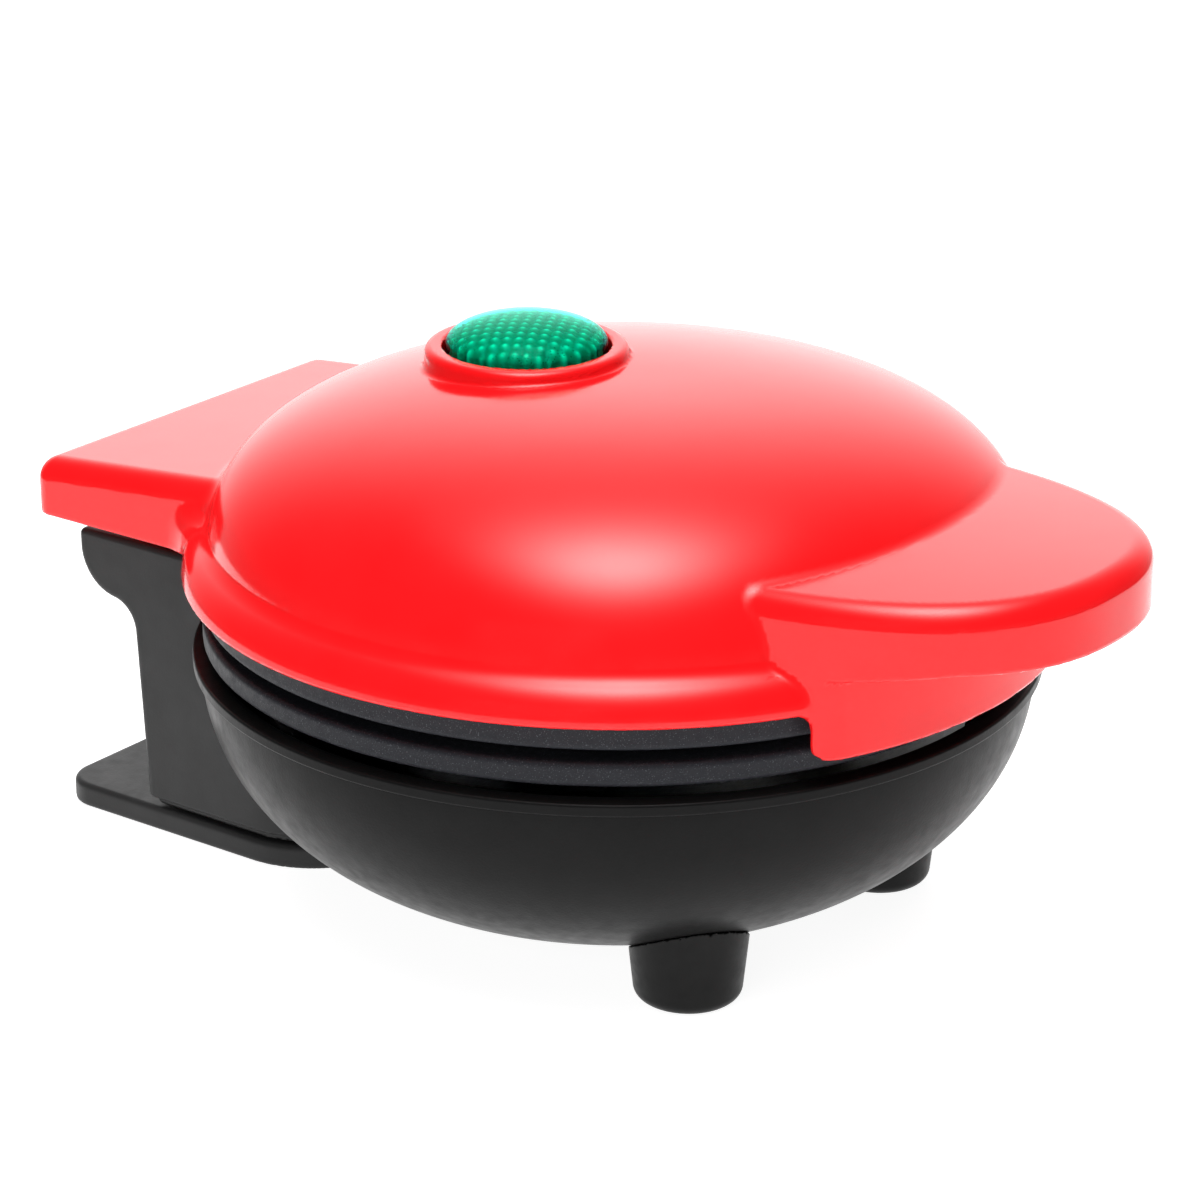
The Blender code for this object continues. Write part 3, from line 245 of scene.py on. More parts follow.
def mesh_from(name, points, faces, normals=None):
    """A mesh object in metres, from points in millimetres about the bowl's axis."""
    mesh = bpy.data.meshes.new(name)
    places = (points + np.array([0.0, BODY_Y, 0.0])) * MM
    mesh.vertices.add(len(places))
    mesh.vertices.foreach_set("co", places.astype(np.float32).ravel())
    mesh.loops.add(faces.size)
    mesh.loops.foreach_set("vertex_index", faces.astype(np.int32).ravel())
    mesh.polygons.add(len(faces))
    mesh.polygons.foreach_set("loop_start", np.arange(0, faces.size, faces.shape[1], dtype=np.int32))
    mesh.polygons.foreach_set("loop_total", np.full(len(faces), faces.shape[1], np.int32))
    mesh.update(calc_edges=True)
    mesh.validate()
    mesh.shade_smooth()
    if normals is not None and len(mesh.vertices) == len(normals):
        mesh.normals_split_custom_set_from_vertices(normals.astype(np.float32))
    made = bpy.data.objects.new(name, mesh)
    bpy.context.scene.collection.objects.link(made)
    return made


def solid(name, field, low, high, spacing):
    """The skin of a field as a mesh object. low and high are the corners of a box that holds it.

    The grid is even about the box's middle. An axis whose middle isn't zero is shifted a little, so that
    flat faces don't fall just on the grid.
    """
    spacing = spacing * COARSE
    axes = []
    for a, b in zip(low, high):
        half = int(math.ceil((b - a) / 2.0 / spacing)) + 1
        steps = np.arange(-half, half + 1) + GRID_SHIFT * (a + b != 0.0)
        axes.append((a + b) / 2.0 + spacing * steps)
    values = sample_field(field, axes)
    inside = values < 0.0
    cells, index = cells_on_skin(inside)
    points, quads = cell_points(values, axes, cells), cell_quads(inside, index)
    points = settle(field, points, spacing, 3)
    points = even_out(field, points, quads, spacing, 4)
    points = settle(field, points, spacing, 2)
    return mesh_from(name, points, quads, unit_slope(field, points))


def column(x, y, reach, low_z, high_z):
    """The two corners of an upright box about (x, y)."""
    return (x - reach, y - reach, low_z), (x + reach, y + reach, high_z)


ARC_STEPS, ARC_LEAD = 8, 0.12


def rounded_path(points):
    """A profile of (r, z, radius) points with its corners rounded. Radius 0 is a plain point.

    A point just before and just after each arc keeps the flats beside it evenly shaded.
    """
    path = []
    for n, (r, z, radius) in enumerate(points):
        here = np.array((r, z))
        if radius == 0.0 or n in (0, len(points) - 1):
            path.append(here)
            continue
        before = np.array(points[n - 1][:2]) - here
        after = np.array(points[n + 1][:2]) - here
        before /= np.linalg.norm(before)
        after /= np.linalg.norm(after)
        half = math.acos(np.clip(before @ after, -1.0, 1.0)) / 2.0
        centre = here + (before + after) / np.linalg.norm(before + after) * radius / math.sin(half)
        reach = radius / math.tan(half)
        start = here + before * reach
        end = here + after * reach
        a0 = math.atan2(*(start - centre)[::-1])
        a1 = math.atan2(*(end - centre)[::-1])
        turn = (a1 - a0 + math.pi) % (2.0 * math.pi) - math.pi
        path.append(start + before * radius * ARC_LEAD)
        for step in range(ARC_STEPS + 1):
            a = a0 + turn * step / ARC_STEPS
            path.append(centre + radius * np.array((math.cos(a), math.sin(a))))
        path.append(end + after * radius * ARC_LEAD)
    return np.array(path)


def turned(path, steps):
    """Points and quads of an (r, z) profile turned about the bowl's axis, open at both ends."""
    turns = np.linspace(0.0, 2.0 * math.pi, steps, endpoint=False)
    rings = np.stack([np.outer(path[:, 0], np.cos(turns)), np.outer(path[:, 0], np.sin(turns)),
                      np.outer(path[:, 1], np.ones(steps))], -1)
    n = np.arange(len(path) - 1)[:, None] * steps
    here = np.arange(steps)[None, :]
    after = (here + 1) % steps
    quads = np.stack([n + here, n + after, n + steps + after, n + steps + here], -1).reshape(-1, 4)
    return rings.reshape(-1, 3), quads


def show(piece, material, body, slot_name, *nodes):
    """Finish a piece: its material, the body it moves with and the CAD nodes it stands for. slot_name is not
    used.
    """
    piece.data.materials.clear()
    piece.data.materials.append(material)
    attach(piece, body)
    if nodes:
        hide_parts(*nodes)
    return piece


# ---------------------------------------------------------------- materials

class Finish:
    """A material being made from nodes. Its noises are placed in the object's own metres."""

    def __init__(self, name):
        self.material = bpy.data.materials.new(name)
        self.material.use_nodes = True
        self.tree = self.material.node_tree
        self.shader = self.tree.nodes["Principled BSDF"]
        self.place = self.tree.nodes.new("ShaderNodeTexCoord").outputs["Object"]

    def set(self, **values):
        for name, value in values.items():
            self.shader.inputs[name.replace("_", " ")].default_value = value
        return self

    def link(self, output, name):
        self.tree.links.new(output, self.shader.inputs[name])

    def noise(self, scale, detail=4.0, roughness=0.55, stretch=None):
        node = self.tree.nodes.new("ShaderNodeTexNoise")
        node.inputs["Scale"].default_value = scale
        node.inputs["Detail"].default_value = detail
        node.inputs["Roughness"].default_value = roughness
        source = self.place
        if stretch:
            mapping = self.tree.nodes.new("ShaderNodeMapping")
            mapping.inputs["Scale"].default_value = stretch
            self.tree.links.new(source, mapping.inputs["Vector"])
            source = mapping.outputs["Vector"]
        self.tree.links.new(source, node.inputs["Vector"])
        return node.outputs["Fac"]

    def vector_math(self, operation, source, *values):
        """The outputs of a vector node whose first input is linked and whose others are set."""
        node = self.tree.nodes.new("ShaderNodeVectorMath")
        node.operation = operation
        self.tree.links.new(source, node.inputs[0])
        for n, value in enumerate(values):
            node.inputs[n + 1].default_value = value
        return node.outputs

    def cells(self, scale):
        node = self.tree.nodes.new("ShaderNodeTexVoronoi")
        node.inputs["Scale"].default_value = scale
        self.tree.links.new(self.place, node.inputs["Vector"])
        return node.outputs["Distance"]

    def ramp(self, source, stops):
        node = self.tree.nodes.new("ShaderNodeValToRGB")
        elements = node.color_ramp.elements
        while len(elements) < len(stops):
            elements.new(0.5)
        for element, (position, colour) in zip(elements, stops):
            element.position = position
            element.color = (*colour, 1.0) if isinstance(colour, tuple) else (colour,) * 3 + (1.0,)
        self.tree.links.new(source, node.inputs["Fac"])
        return node.outputs["Color"]

    def bump(self, source, strength, distance, after=None, target="Normal"):
        node = self.tree.nodes.new("ShaderNodeBump")
        node.inputs["Strength"].default_value = strength
        node.inputs["Distance"].default_value = distance
        self.tree.links.new(source, node.inputs["Height"])
        if after:
            self.tree.links.new(after, node.inputs["Normal"])
        if target:
            self.link(node.outputs["Normal"], target)
        return node.outputs["Normal"]


def moulded_red():
    f = Finish("moulded_red")
    f.set(IOR=1.45, Specular_IOR_Level=0.45)
    f.link(f.ramp(f.noise(90.0), [(0.3, (0.90, 0.0092, 0.0120)), (0.7, (0.94, 0.0110, 0.0140))]),
           "Base Color")
    f.link(f.ramp(f.noise(260.0, 3.0), [(0.35, 0.10), (0.65, 0.14)]), "Roughness")
    wave = f.bump(f.noise(70.0, 1.0), 0.06, 0.0006, target=None)
    f.bump(f.noise(2600.0, 2.0), 0.035, 0.00006, wave)
    return f.material


def moulded_black(name, light, dark, rough, gloss):
    f = Finish(name)
    f.set(IOR=1.45, Specular_IOR_Level=gloss)
    f.link(f.ramp(f.noise(120.0), [(0.3, (dark, dark, dark)), (0.7, (light, light, light * 1.01))]),
           "Base Color")
    f.link(f.ramp(f.noise(420.0, 3.0), [(0.3, rough - 0.05), (0.7, rough + 0.06)]), "Roughness")
    grain = f.bump(f.cells(2300.0), 0.10, 0.00009, target=None)
    f.bump(f.noise(5200.0, 2.0), 0.10, 0.00005, grain)
    return f.material


def coated_plate():
    """Dark non-stick coating with a sandy grain and fine pale specks."""
    f = Finish("coated_plate")
    f.set(IOR=1.45, Specular_IOR_Level=0.25)
    specks = f.ramp(f.noise(5200.0, 1.0), [(0.0, (0.014, 0.015, 0.019)), (0.64, (0.020, 0.021, 0.026)),
                                           (0.74, (0.085, 0.09, 0.10))])
    f.link(specks, "Base Color")
    f.link(f.ramp(f.noise(900.0, 3.0), [(0.3, 0.42), (0.7, 0.58)]), "Roughness")
    sand = f.bump(f.noise(3400.0, 3.0), 0.35, 0.00012, target=None)
    f.bump(f.noise(300.0, 2.0), 0.08, 0.0004, sand)
    return f.material


def soft_rubber():
    f = Finish("soft_rubber")
    f.set(IOR=1.45, Specular_IOR_Level=0.18)
    f.link(f.ramp(f.noise(300.0), [(0.3, (0.006, 0.006, 0.006)), (0.7, (0.009, 0.009, 0.009))]),
           "Base Color")
    f.link(f.ramp(f.noise(700.0, 3.0), [(0.3, 0.34), (0.7, 0.46)]), "Roughness")
    f.bump(f.noise(4000.0, 2.0), 0.10, 0.00006)
    return f.material


def metal(name, light, dark, rough, stretch):
    """Metal with fine lines along one way."""
    f = Finish(name)
    f.set(Metallic=1.0)
    lines = f.noise(900.0, 3.0, 0.6, stretch)
    f.link(f.ramp(lines, [(0.3, dark), (0.7, light)]), "Base Color")
    f.link(f.ramp(lines, [(0.3, rough + 0.10), (0.7, rough)]), "Roughness")
    f.bump(lines, 0.10, 0.00004)
    return f.material


def pale(name, light, dark, rough, grain):
    f = Finish(name)
    f.link(f.ramp(f.noise(grain * 0.3), [(0.3, dark), (0.7, light)]), "Base Color")
    f.link(f.ramp(f.noise(grain), [(0.3, rough - 0.06), (0.7, rough + 0.06)]), "Roughness")
    f.bump(f.noise(grain * 2.0, 3.0), 0.25, 0.0001)
    return f.material


def clear_green():
    f = Finish("clear_green")
    f.set(Transmission_Weight=1.0, IOR=1.08)
    f.link(f.ramp(f.noise(300.0), [(0.3, (0.02, 0.90, 0.76)), (0.7, (0.03, 0.95, 0.80))]), "Base Color")
    f.link(f.ramp(f.noise(900.0), [(0.3, 0.015), (0.7, 0.035)]), "Roughness")
    return f.material


def prism_green_painted_glint(pitch, turn, centre_y):
    """Deep green, with a painted highlight: the base colour is lighter at the tip of each prism of a square
    lattice.
    """
    f = Finish("prism_green_painted_glint")
    f.set(IOR=1.45, Specular_IOR_Level=0.3)
    mapping = f.tree.nodes.new("ShaderNodeMapping")
    mapping.vector_type = "TEXTURE"
    mapping.inputs["Location"].default_value = (0.0, centre_y, 0.0)
    mapping.inputs["Rotation"].default_value = (0.0, 0.0, turn)
    mapping.inputs["Scale"].default_value = (pitch, pitch, pitch)
    f.tree.links.new(f.place, mapping.inputs["Vector"])
    # Every prism's own place runs from -0.5 to 0.5 across, whatever its height
    cell = f.vector_math("WRAP", mapping.outputs["Vector"], (0.5, 0.5, 1e6), (-0.5, -0.5, -1e6))["Vector"]
    flat = f.vector_math("MULTIPLY", cell, (1.0, 1.0, 0.0))["Vector"]
    reach = f.vector_math("LENGTH", flat)["Value"]
    # Painted highlight: the light green stop at each prism's tip stands in for light glinting on it
    f.link(f.ramp(reach, [(0.10, (0.01, 0.80, 0.56)), (0.26, (0.0, 0.42, 0.27)),
                          (0.44, (0.0, 0.27, 0.165))]), "Base Color")
    f.link(f.ramp(f.noise(900.0), [(0.3, 0.14), (0.7, 0.22)]), "Roughness")
    return f.material


RED = moulded_red()
BLACK = moulded_black("moulded_black", 0.0085, 0.0065, 0.34, 0.11)
ARM_BLACK = moulded_black("arm_black", 0.034, 0.027, 0.40, 0.22)
PLATE_COAT = coated_plate()
RUBBER = soft_rubber()
STEEL = metal("plated_steel", (0.66, 0.66, 0.67), (0.48, 0.48, 0.49), 0.22, (1.0, 1.0, 6.0))
DULL_STEEL = metal("heater_steel", (0.36, 0.35, 0.33), (0.22, 0.21, 0.20), 0.38, (1.0, 1.0, 1.0))
SHEET = metal("reflector_sheet", (0.82, 0.82, 0.83), (0.66, 0.66, 0.67), 0.28, (1.0, 8.0, 1.0))
CERAMIC = pale("ceramic", (0.80, 0.78, 0.73), (0.70, 0.68, 0.63), 0.55, 900.0)
SLEEVE = pale("woven_sleeve", (0.76, 0.75, 0.70), (0.58, 0.57, 0.52), 0.65, 2600.0)
GLASS_GREEN = clear_green()


# ---------------------------------------------------------------- lid

(_, HANDLE_TIP_Y, _), (LIP_RADIUS, LEDGE_REAR_Y, COLLAR_TOP_Z) = corners("lid_shell")
_, HINGE_Y, HINGE_Z = middle("hinge_pin")
DOME_RADIUS, DOME_BASE_Z, DOME_HEIGHT, DOME_POWER = 60.0, 54.5, 26.0, 2.53
LID_WALL = 2.0
LIP_BOTTOM_Z, LIP_TOP_Z, LIP_ROUND, LIP_FILLET = 51.3, 57.4, 5.4, 1.3
LIP_BORE, LIP_BORE_TOP_Z = 61.7, 53.1
HANDLE_HALF_WIDTH, HANDLE_POWER, HANDLE_ROOT_Y, HANDLE_END_Y = 34.8, 2.36, -30.0, -20.0
HANDLE_TOP_Z, HANDLE_BOTTOM_Z, HANDLE_WALL, HANDLE_EDGE = 68.4, 58.4, 2.3, 3.2
HANDLE_CROWN, HANDLE_HOLLOW_EDGE, HANDLE_FILLET = 0.0009, 1.5, 0.65
HANDLE_LEVEL_Y, HANDLE_DROP, HANDLE_DROP_LENGTH = -73.0, 0.13, 25.0
SKIRT_RADIUS, SKIRT_BOTTOM_Z, SKIRT_WALL, SKIRT_EDGE = 66.0, 45.0, 2.2, 2.0
SKIRT_END_Y, SKIRT_ROOT_Y, SKIRT_LAP, SKIRT_GAP, HEM_FILLET = -55.3, -45.0, 2.0, 0.3, 2.3
LEDGE_HALF_WIDTH, LEDGE_FRONT_Y, LEDGE_HOLLOW_Y = 33.4, 40.0, 50.0
LEDGE_BOTTOM_Z, LEDGE_REAR_TOP_Z, LEDGE_SLOPE, LEDGE_WALL, LEDGE_EDGE = 50.3, 59.1, 0.09, 1.8, 3.4
LEDGE_FILLET_LOW, LEDGE_FILLET_HIGH = (57.0, 4.2), (62.5, 1.2)
COLLAR_Y = middle("indicator_lens")[1]
COLLAR_RADIUS, COLLAR_SLOPE, COLLAR_BORE, COLLAR_ROOT_Z, COLLAR_BORE_Z = 15.0, 0.07, 12.46, 74.0, 70.0
PIN_HOLE, PIN_REACH = 2.3, 26.9
LUG_X, LUG_HALF_WIDTH, LUG_RADIUS, WEB_HALF_DEPTH, WEB_TOP_Z = 18.0, 3.0, 4.6, 3.0, 59.0


def dome_field(r, z):
    return superellipse(r, np.maximum(z - DOME_BASE_Z, 0.0), DOME_RADIUS, DOME_HEIGHT, DOME_POWER)


def handle_outline(x, y):
    """Distance to the crescent's outline, seen from above."""
    ahead = np.maximum(HANDLE_ROOT_Y - y, 0.0)
    return superellipse(x, ahead, HANDLE_HALF_WIDTH, HANDLE_ROOT_Y - HANDLE_TIP_Y, HANDLE_POWER)


def handle_field(x, y, z, body):
    """The crescent visor, hollow underneath, and the skirt that comes down in front of the lip."""
    r = np.hypot(x, y)
    outline = handle_outline(x, y)
    band = round_max(outline, r - SKIRT_RADIUS, SKIRT_EDGE)
    hem = round_max(y - SKIRT_END_Y, SKIRT_BOTTOM_Z - z, SKIRT_EDGE)
    hem = round_min(hem, LIP_BOTTOM_Z - z, HEM_FILLET)
    skirt = round_max(band, np.maximum(hem, y - SKIRT_ROOT_Y), 0.6)
    skirt = round_max(skirt, z - HANDLE_BOTTOM_Z - SKIRT_LAP, 0.5)

    top = HANDLE_TOP_Z - HANDLE_CROWN * x * x
    bottom = HANDLE_BOTTOM_Z - HANDLE_DROP * np.clip(y - HANDLE_LEVEL_Y, 0.0, HANDLE_DROP_LENGTH)
    visor = round_max(outline, z - top, HANDLE_EDGE)
    visor = np.maximum(round_max(visor, bottom - z, 0.8), y - HANDLE_END_Y)
    recess = round_max(outline + HANDLE_WALL, z - top + HANDLE_WALL, HANDLE_HOLLOW_EDGE)
    kept = round_min(body, skirt, 0.6)
    recess = np.maximum(round_max(recess, -kept, 1.0), y - HANDLE_END_Y)
    return np.minimum(skirt, carve(visor, recess, 0.6))


def with_ledge(x, y, z, body):
    """The lid's round body joined to the square ledge over the hinge, hollow underneath."""
    top = (z - LEDGE_REAR_TOP_Z - LEDGE_SLOPE * (LEDGE_REAR_Y - y)) / math.hypot(1.0, LEDGE_SLOPE)
    plan = round_max(np.abs(x) - LEDGE_HALF_WIDTH, y - LEDGE_REAR_Y, LEDGE_EDGE)
    ledge = np.maximum(round_max(plan, top, LEDGE_EDGE), LEDGE_FRONT_Y - y)
    (low_z, low_fillet), (high_z, high_fillet) = LEDGE_FILLET_LOW, LEDGE_FILLET_HIGH
    fillet = low_fillet - (low_fillet - high_fillet) * blend_step(z, low_z, high_z)
    joined = round_max(round_min(body, ledge, fillet), LEDGE_BOTTOM_Z - z, 0.6)
    hollow = round_max(plan + LEDGE_WALL, top + LEDGE_WALL, LEDGE_EDGE - LEDGE_WALL)
    hollow = np.maximum(round_max(hollow, -body, 1.0), LEDGE_HOLLOW_Y - y)
    joined = carve(joined, hollow, 0.5)
    return np.where(y > LEDGE_FRONT_Y, joined, np.minimum(joined, body))


def lid_field(x, y, z):
    r = np.hypot(x, y)
    dome = dome_field(r, z)
    lip = round_max(round_max(r - LIP_RADIUS, z - LIP_TOP_Z, LIP_ROUND), LIP_BOTTOM_Z - z, 0.8)
    body = round_min(np.maximum(dome, LIP_BOTTOM_Z - z), lip, LIP_FILLET)
    front = round_min(body, handle_field(x, y, z, body), HANDLE_FILLET)
    shell = np.where(y > 0.0, with_ledge(x, y, z, body), front)

    c = np.hypot(x, y - COLLAR_Y)
    collar = round_max(c - COLLAR_RADIUS - COLLAR_SLOPE * (COLLAR_TOP_Z - z), z - COLLAR_TOP_Z, 1.0)
    shell = round_min(shell, np.maximum(collar, COLLAR_ROOT_Z - z), 0.6)
    shell = carve(shell, np.maximum(c - COLLAR_BORE, COLLAR_BORE_Z - z), 0.35)

    cavity = np.minimum(dome + LID_WALL, np.maximum(r - LIP_BORE, z - LIP_BORE_TOP_Z))
    behind_skirt = np.maximum(r - SKIRT_RADIUS, handle_outline(x, y)) + SKIRT_WALL
    cavity = np.minimum(cavity, np.maximum(behind_skirt, z - LIP_BOTTOM_Z + SKIRT_GAP))
    shell = carve(shell, cavity, 0.4)

    beside = np.abs(np.abs(x) - LUG_X) - LUG_HALF_WIDTH
    around = np.hypot(y - HINGE_Y, z - HINGE_Z)
    web = np.maximum(np.maximum(np.abs(y - HINGE_Y) - WEB_HALF_DEPTH, HINGE_Z - z), z - WEB_TOP_Z)
    lug = round_max(np.minimum(around - LUG_RADIUS, web), beside, 0.3)
    shell = round_min(shell, lug, 0.5)
    return carve(shell, around - PIN_HOLE, 0.2)


lid = solid("lid_moulding", lid_field, (-67.0, -84.5, 39.0), (67.0, 88.0, 83.0), spacing=0.72)
show(lid, RED, "lid", "red_gloss", "lid_shell")

# The lens: a clear crown over a field of small prisms
(_, _, FLANGE_BOTTOM_Z), (FLANGE_RADIUS, _, LENS_TOP_Z) = corners("indicator_lens")
LENS_RADIUS, LENS_WALL, LENS_POWER, FLANGE_TOP_Z = 12.0, 0.45, 2.1, 75.8
PRISM_PITCH, PRISM_HEIGHT, PRISM_TURN = 1.75, 0.45, math.radians(28.0)
PRISM_BOTTOM_Z, PRISM_GAP = 76.2, 0.1


def crown_field(x, y, z, inset):
    c = np.hypot(x, y - COLLAR_Y)
    rise = np.maximum(z - COLLAR_TOP_Z, 0.0)
    return superellipse(c, rise, LENS_RADIUS, LENS_TOP_Z - COLLAR_TOP_Z, LENS_POWER) + inset


def lens_field(x, y, z):
    c = np.hypot(x, y - COLLAR_Y)
    outer = np.maximum(crown_field(x, y, z, 0.0), FLANGE_BOTTOM_Z - z)
    flange = np.maximum(c - FLANGE_RADIUS, slab(z, FLANGE_BOTTOM_Z, FLANGE_TOP_Z, 0.2))
    return carve(np.minimum(outer, flange), crown_field(x, y, z, LENS_WALL), 0.2)


def prism_field(x, y, z):
    u = (x * math.cos(PRISM_TURN) + (y - COLLAR_Y) * math.sin(PRISM_TURN)) / PRISM_PITCH
    v = (-x * math.sin(PRISM_TURN) + (y - COLLAR_Y) * math.cos(PRISM_TURN)) / PRISM_PITCH
    valley = 0.5 - 0.25 * (np.cos(2.0 * math.pi * u) + np.cos(2.0 * math.pi * v))
    top = crown_field(x, y, z, LENS_WALL + PRISM_GAP + PRISM_HEIGHT * valley)
    side = np.hypot(x, y - COLLAR_Y) - LENS_RADIUS + LENS_WALL + PRISM_GAP
    return round_max(np.maximum(top, side), PRISM_BOTTOM_Z - z, 0.2)


lens = solid("lens_crown", lens_field, *column(0.0, COLLAR_Y, 14.2, 74.2, 86.6), spacing=0.3)
show(lens, GLASS_GREEN, "lid", "green_lens", "indicator_lens")
PRISM_GREEN = prism_green_painted_glint(PRISM_PITCH * MM, PRISM_TURN, (COLLAR_Y + BODY_Y) * MM)
prisms = solid("lens_prisms", prism_field, *column(0.0, COLLAR_Y, 12.0, 75.8, 86.2), spacing=0.24)
show(prisms, PRISM_GREEN, "lid", "green_lens")


# ---------------------------------------------------------------- cooking plates

COOK_RADIUS, _, LOWER_FACE_Z = corners("lower_plate")[1]
UPPER_FACE_Z = corners("upper_plate")[0][2]
COOK_SHEET, COOK_RIM_WALL, COOK_LAP, LOWER_RIM_HEIGHT, UPPER_RIM_HEIGHT = 2.5, 2.5, 1.0, 3.5, 4.2
MOULD_CENTRE, MOULD_RING, MOULD_TUBE, MOULD_WALL = 32.5, 13.0, 7.5, 1.8
SCREW_PLACES = [middle("lower_plate_screw_%d" % n)[:2] for n in (1, 2, 3)]
POCKET_RADIUS, SCREW_HOLE_RADIUS, PLATE_POCKET_DEPTH = 3.2, 1.8, 1.5


def plate_field(face, rim_height, side):
    """A cooking plate's field. side is +1 when its body lies above its face."""
    centre = MOULD_CENTRE / math.sqrt(2.0)

    def field(x, y, z):
        depth = side * (z - face)
        r = np.hypot(x, y)
        disc = slab(depth, 0.0, COOK_SHEET, 0.2)
        rim = round_max(round_max(r - COOK_RADIUS, slab(depth, 0.0, rim_height, 0.7), 0.7),
                        COOK_RADIUS - COOK_RIM_WALL - r, 0.3)
        plate = round_min(np.maximum(disc, r - COOK_RADIUS + COOK_LAP), rim, 0.5)
        c = np.hypot(np.abs(x) - centre, np.abs(y) - centre)
        ring = np.hypot(c - MOULD_RING, depth)
        back = np.maximum(ring - MOULD_TUBE - MOULD_WALL, -depth)
        plate = np.maximum(round_min(plate, back, 1.2), -depth)
        plate = carve(plate, ring - MOULD_TUBE, 0.6)
        for px, py in SCREW_PLACES:
            hole = np.hypot(x - px, y - py)
            plate = carve(plate, np.maximum(hole - POCKET_RADIUS, depth - PLATE_POCKET_DEPTH), 0.25)
            plate = np.maximum(plate, SCREW_HOLE_RADIUS - hole)
        return plate
    return field


lower = solid("lower_cooking_plate", plate_field(LOWER_FACE_Z, LOWER_RIM_HEIGHT, -1.0),
              *column(0.0, 0.0, 62.0, 35.6, 46.1), spacing=0.56)
show(lower, PLATE_COAT, "base", "nonstick", "lower_plate")
upper = solid("upper_cooking_plate", plate_field(UPPER_FACE_Z, UPPER_RIM_HEIGHT, 1.0),
              *column(0.0, 0.0, 62.0, 46.7, 57.2), spacing=0.56)
show(upper, PLATE_COAT, "lid", "nonstick", "upper_plate")


# ---------------------------------------------------------------- base

BOWL_RIM_RADIUS, BOWL_FLAT_Z = corners("base_bowl")[1][0], corners("base_bowl")[0][2]
(_, _, ARM_BOTTOM_Z), (ARM_HALF_WIDTH, _, ARM_TOP_Z) = corners("rear_arm")
(_, PLATE_FRONT_Y, _), (PLATE_HALF_WIDTH, PLATE_REAR_Y, PLATE_TOP_Z) = corners("foot_plate")
FOOT_X, FOOT_Y, _ = middle("foot_screw_right")
GLAND_Z = middle("cord_gland")[2]
BOWL_RADIUS, BOWL_DEPTH, BOWL_POWER, BOWL_WALL, BOWL_RIM_Z = 61.8, 39.6, 2.2, 2.2, 40.2
BOWL_FLOOR_RADIUS = 20.0
BOWL_STEPS, CURVE_STEPS, CURVE_TOP_DROP = 360, 64, 2.6
BEAD_HEIGHT, BEAD_ROOT, BEAD_CHAMFER = 2.0, 0.05, 0.25
OUTER_FOOT_ROUND, OUTER_CURVE_FROM, INNER_FOOT_ROUND, INNER_CURVE_FROM = 2.5, 2.0, 2.0, 1.6
VENT_HALF_LENGTH, VENT_RADIUS, VENT_PLACES, VENT_STEPS = 9.7, 1.3, (-10.0, 0.0, 10.0), 10
SHARP_FROM = math.radians(35.0)
ARM_WALL, ARM_CLEAR_RADIUS, ARM_GAP, ARM_RIM_GAP, ARM_EDGE = 2.0, 63.4, 0.3, 0.5, 0.35
ARM_FOOT_Y, ARM_NECK_Y, FLARE_RADIUS, FILLET_RADIUS = 70.3, 71.9, 7.7, 4.8
SHADOW_TOP_Z, SHADOW_LAP_Z, SHADOW_DEPTH = 5.3, 7.0, 1.0
CHEEK_RADIUS, CHEEK_WALL, CHEEK_TOP_GAP, SLOT_GAP, SLOT_BOTTOM_Z = 5.2, 2.4, 0.6, 0.5, 39.7
PLATE_MIDDLE_Y, FRONT_CORNER, REAR_CORNER = 60.0, 16.0, 6.0
SOLE_POCKETS = [middle("foot_plate_screw_right_%d" % n)[:2] for n in (1, 2)]
SOLE_POCKET_DEPTH, FOOT_POCKET_DEPTH = 2.0, 2.4
FOOT_TOP_RADIUS, FOOT_BOTTOM_RADIUS, FOOT_TOP_Z, FOOT_ROUND, FOOT_GAP = 9.2, 7.7, 14.2, 1.8, 0.06
GLAND_HOLE, GLAND_HOLE_Y = 4.5, 60.0
NECK_RADIUS, NECK_FROM, NECK_TO, WAY_RADIUS = 4.2, -5.8, 1.0, 3.0
BUSH_RADIUS, BUSH_FROM, BUSH_TO, BUSH_ROUND = 6.5, 0.4, 2.6, 0.7


def bowl_skin(x, y, z):
    """Distance to the outside of the bowl's wall, carried on below its floor."""
    drop = np.maximum(BOWL_RIM_Z - z, 0.0)
    return superellipse(np.hypot(x, y), drop, BOWL_RADIUS, BOWL_DEPTH, BOWL_POWER)


def closed_bowl(x, y, z):
    return np.maximum(bowl_skin(x, y, z), BOWL_FLAT_Z - z)


def bowl_curve(inset, low_z):
    """The bowl's side from its foot to the rim, as (r, z, 0) points."""
    points = []
    for step in range(CURVE_STEPS + 1):
        z = low_z + (BOWL_RIM_Z - CURVE_TOP_DROP - low_z) * step / CURVE_STEPS
        drop = (BOWL_RIM_Z - z) / (BOWL_DEPTH - inset)
        points.append(((BOWL_RADIUS - inset) * (1.0 - drop ** BOWL_POWER) ** (1.0 / BOWL_POWER), z, 0.0))
    return points


def foot_and_curve(curve, radius, from_z):
    """The curve with its first point as a rounded corner, and none of its points in that corner's arc."""
    return [curve[0][:2] + (radius,)] + [p for p in curve[1:] if p[1] > from_z]


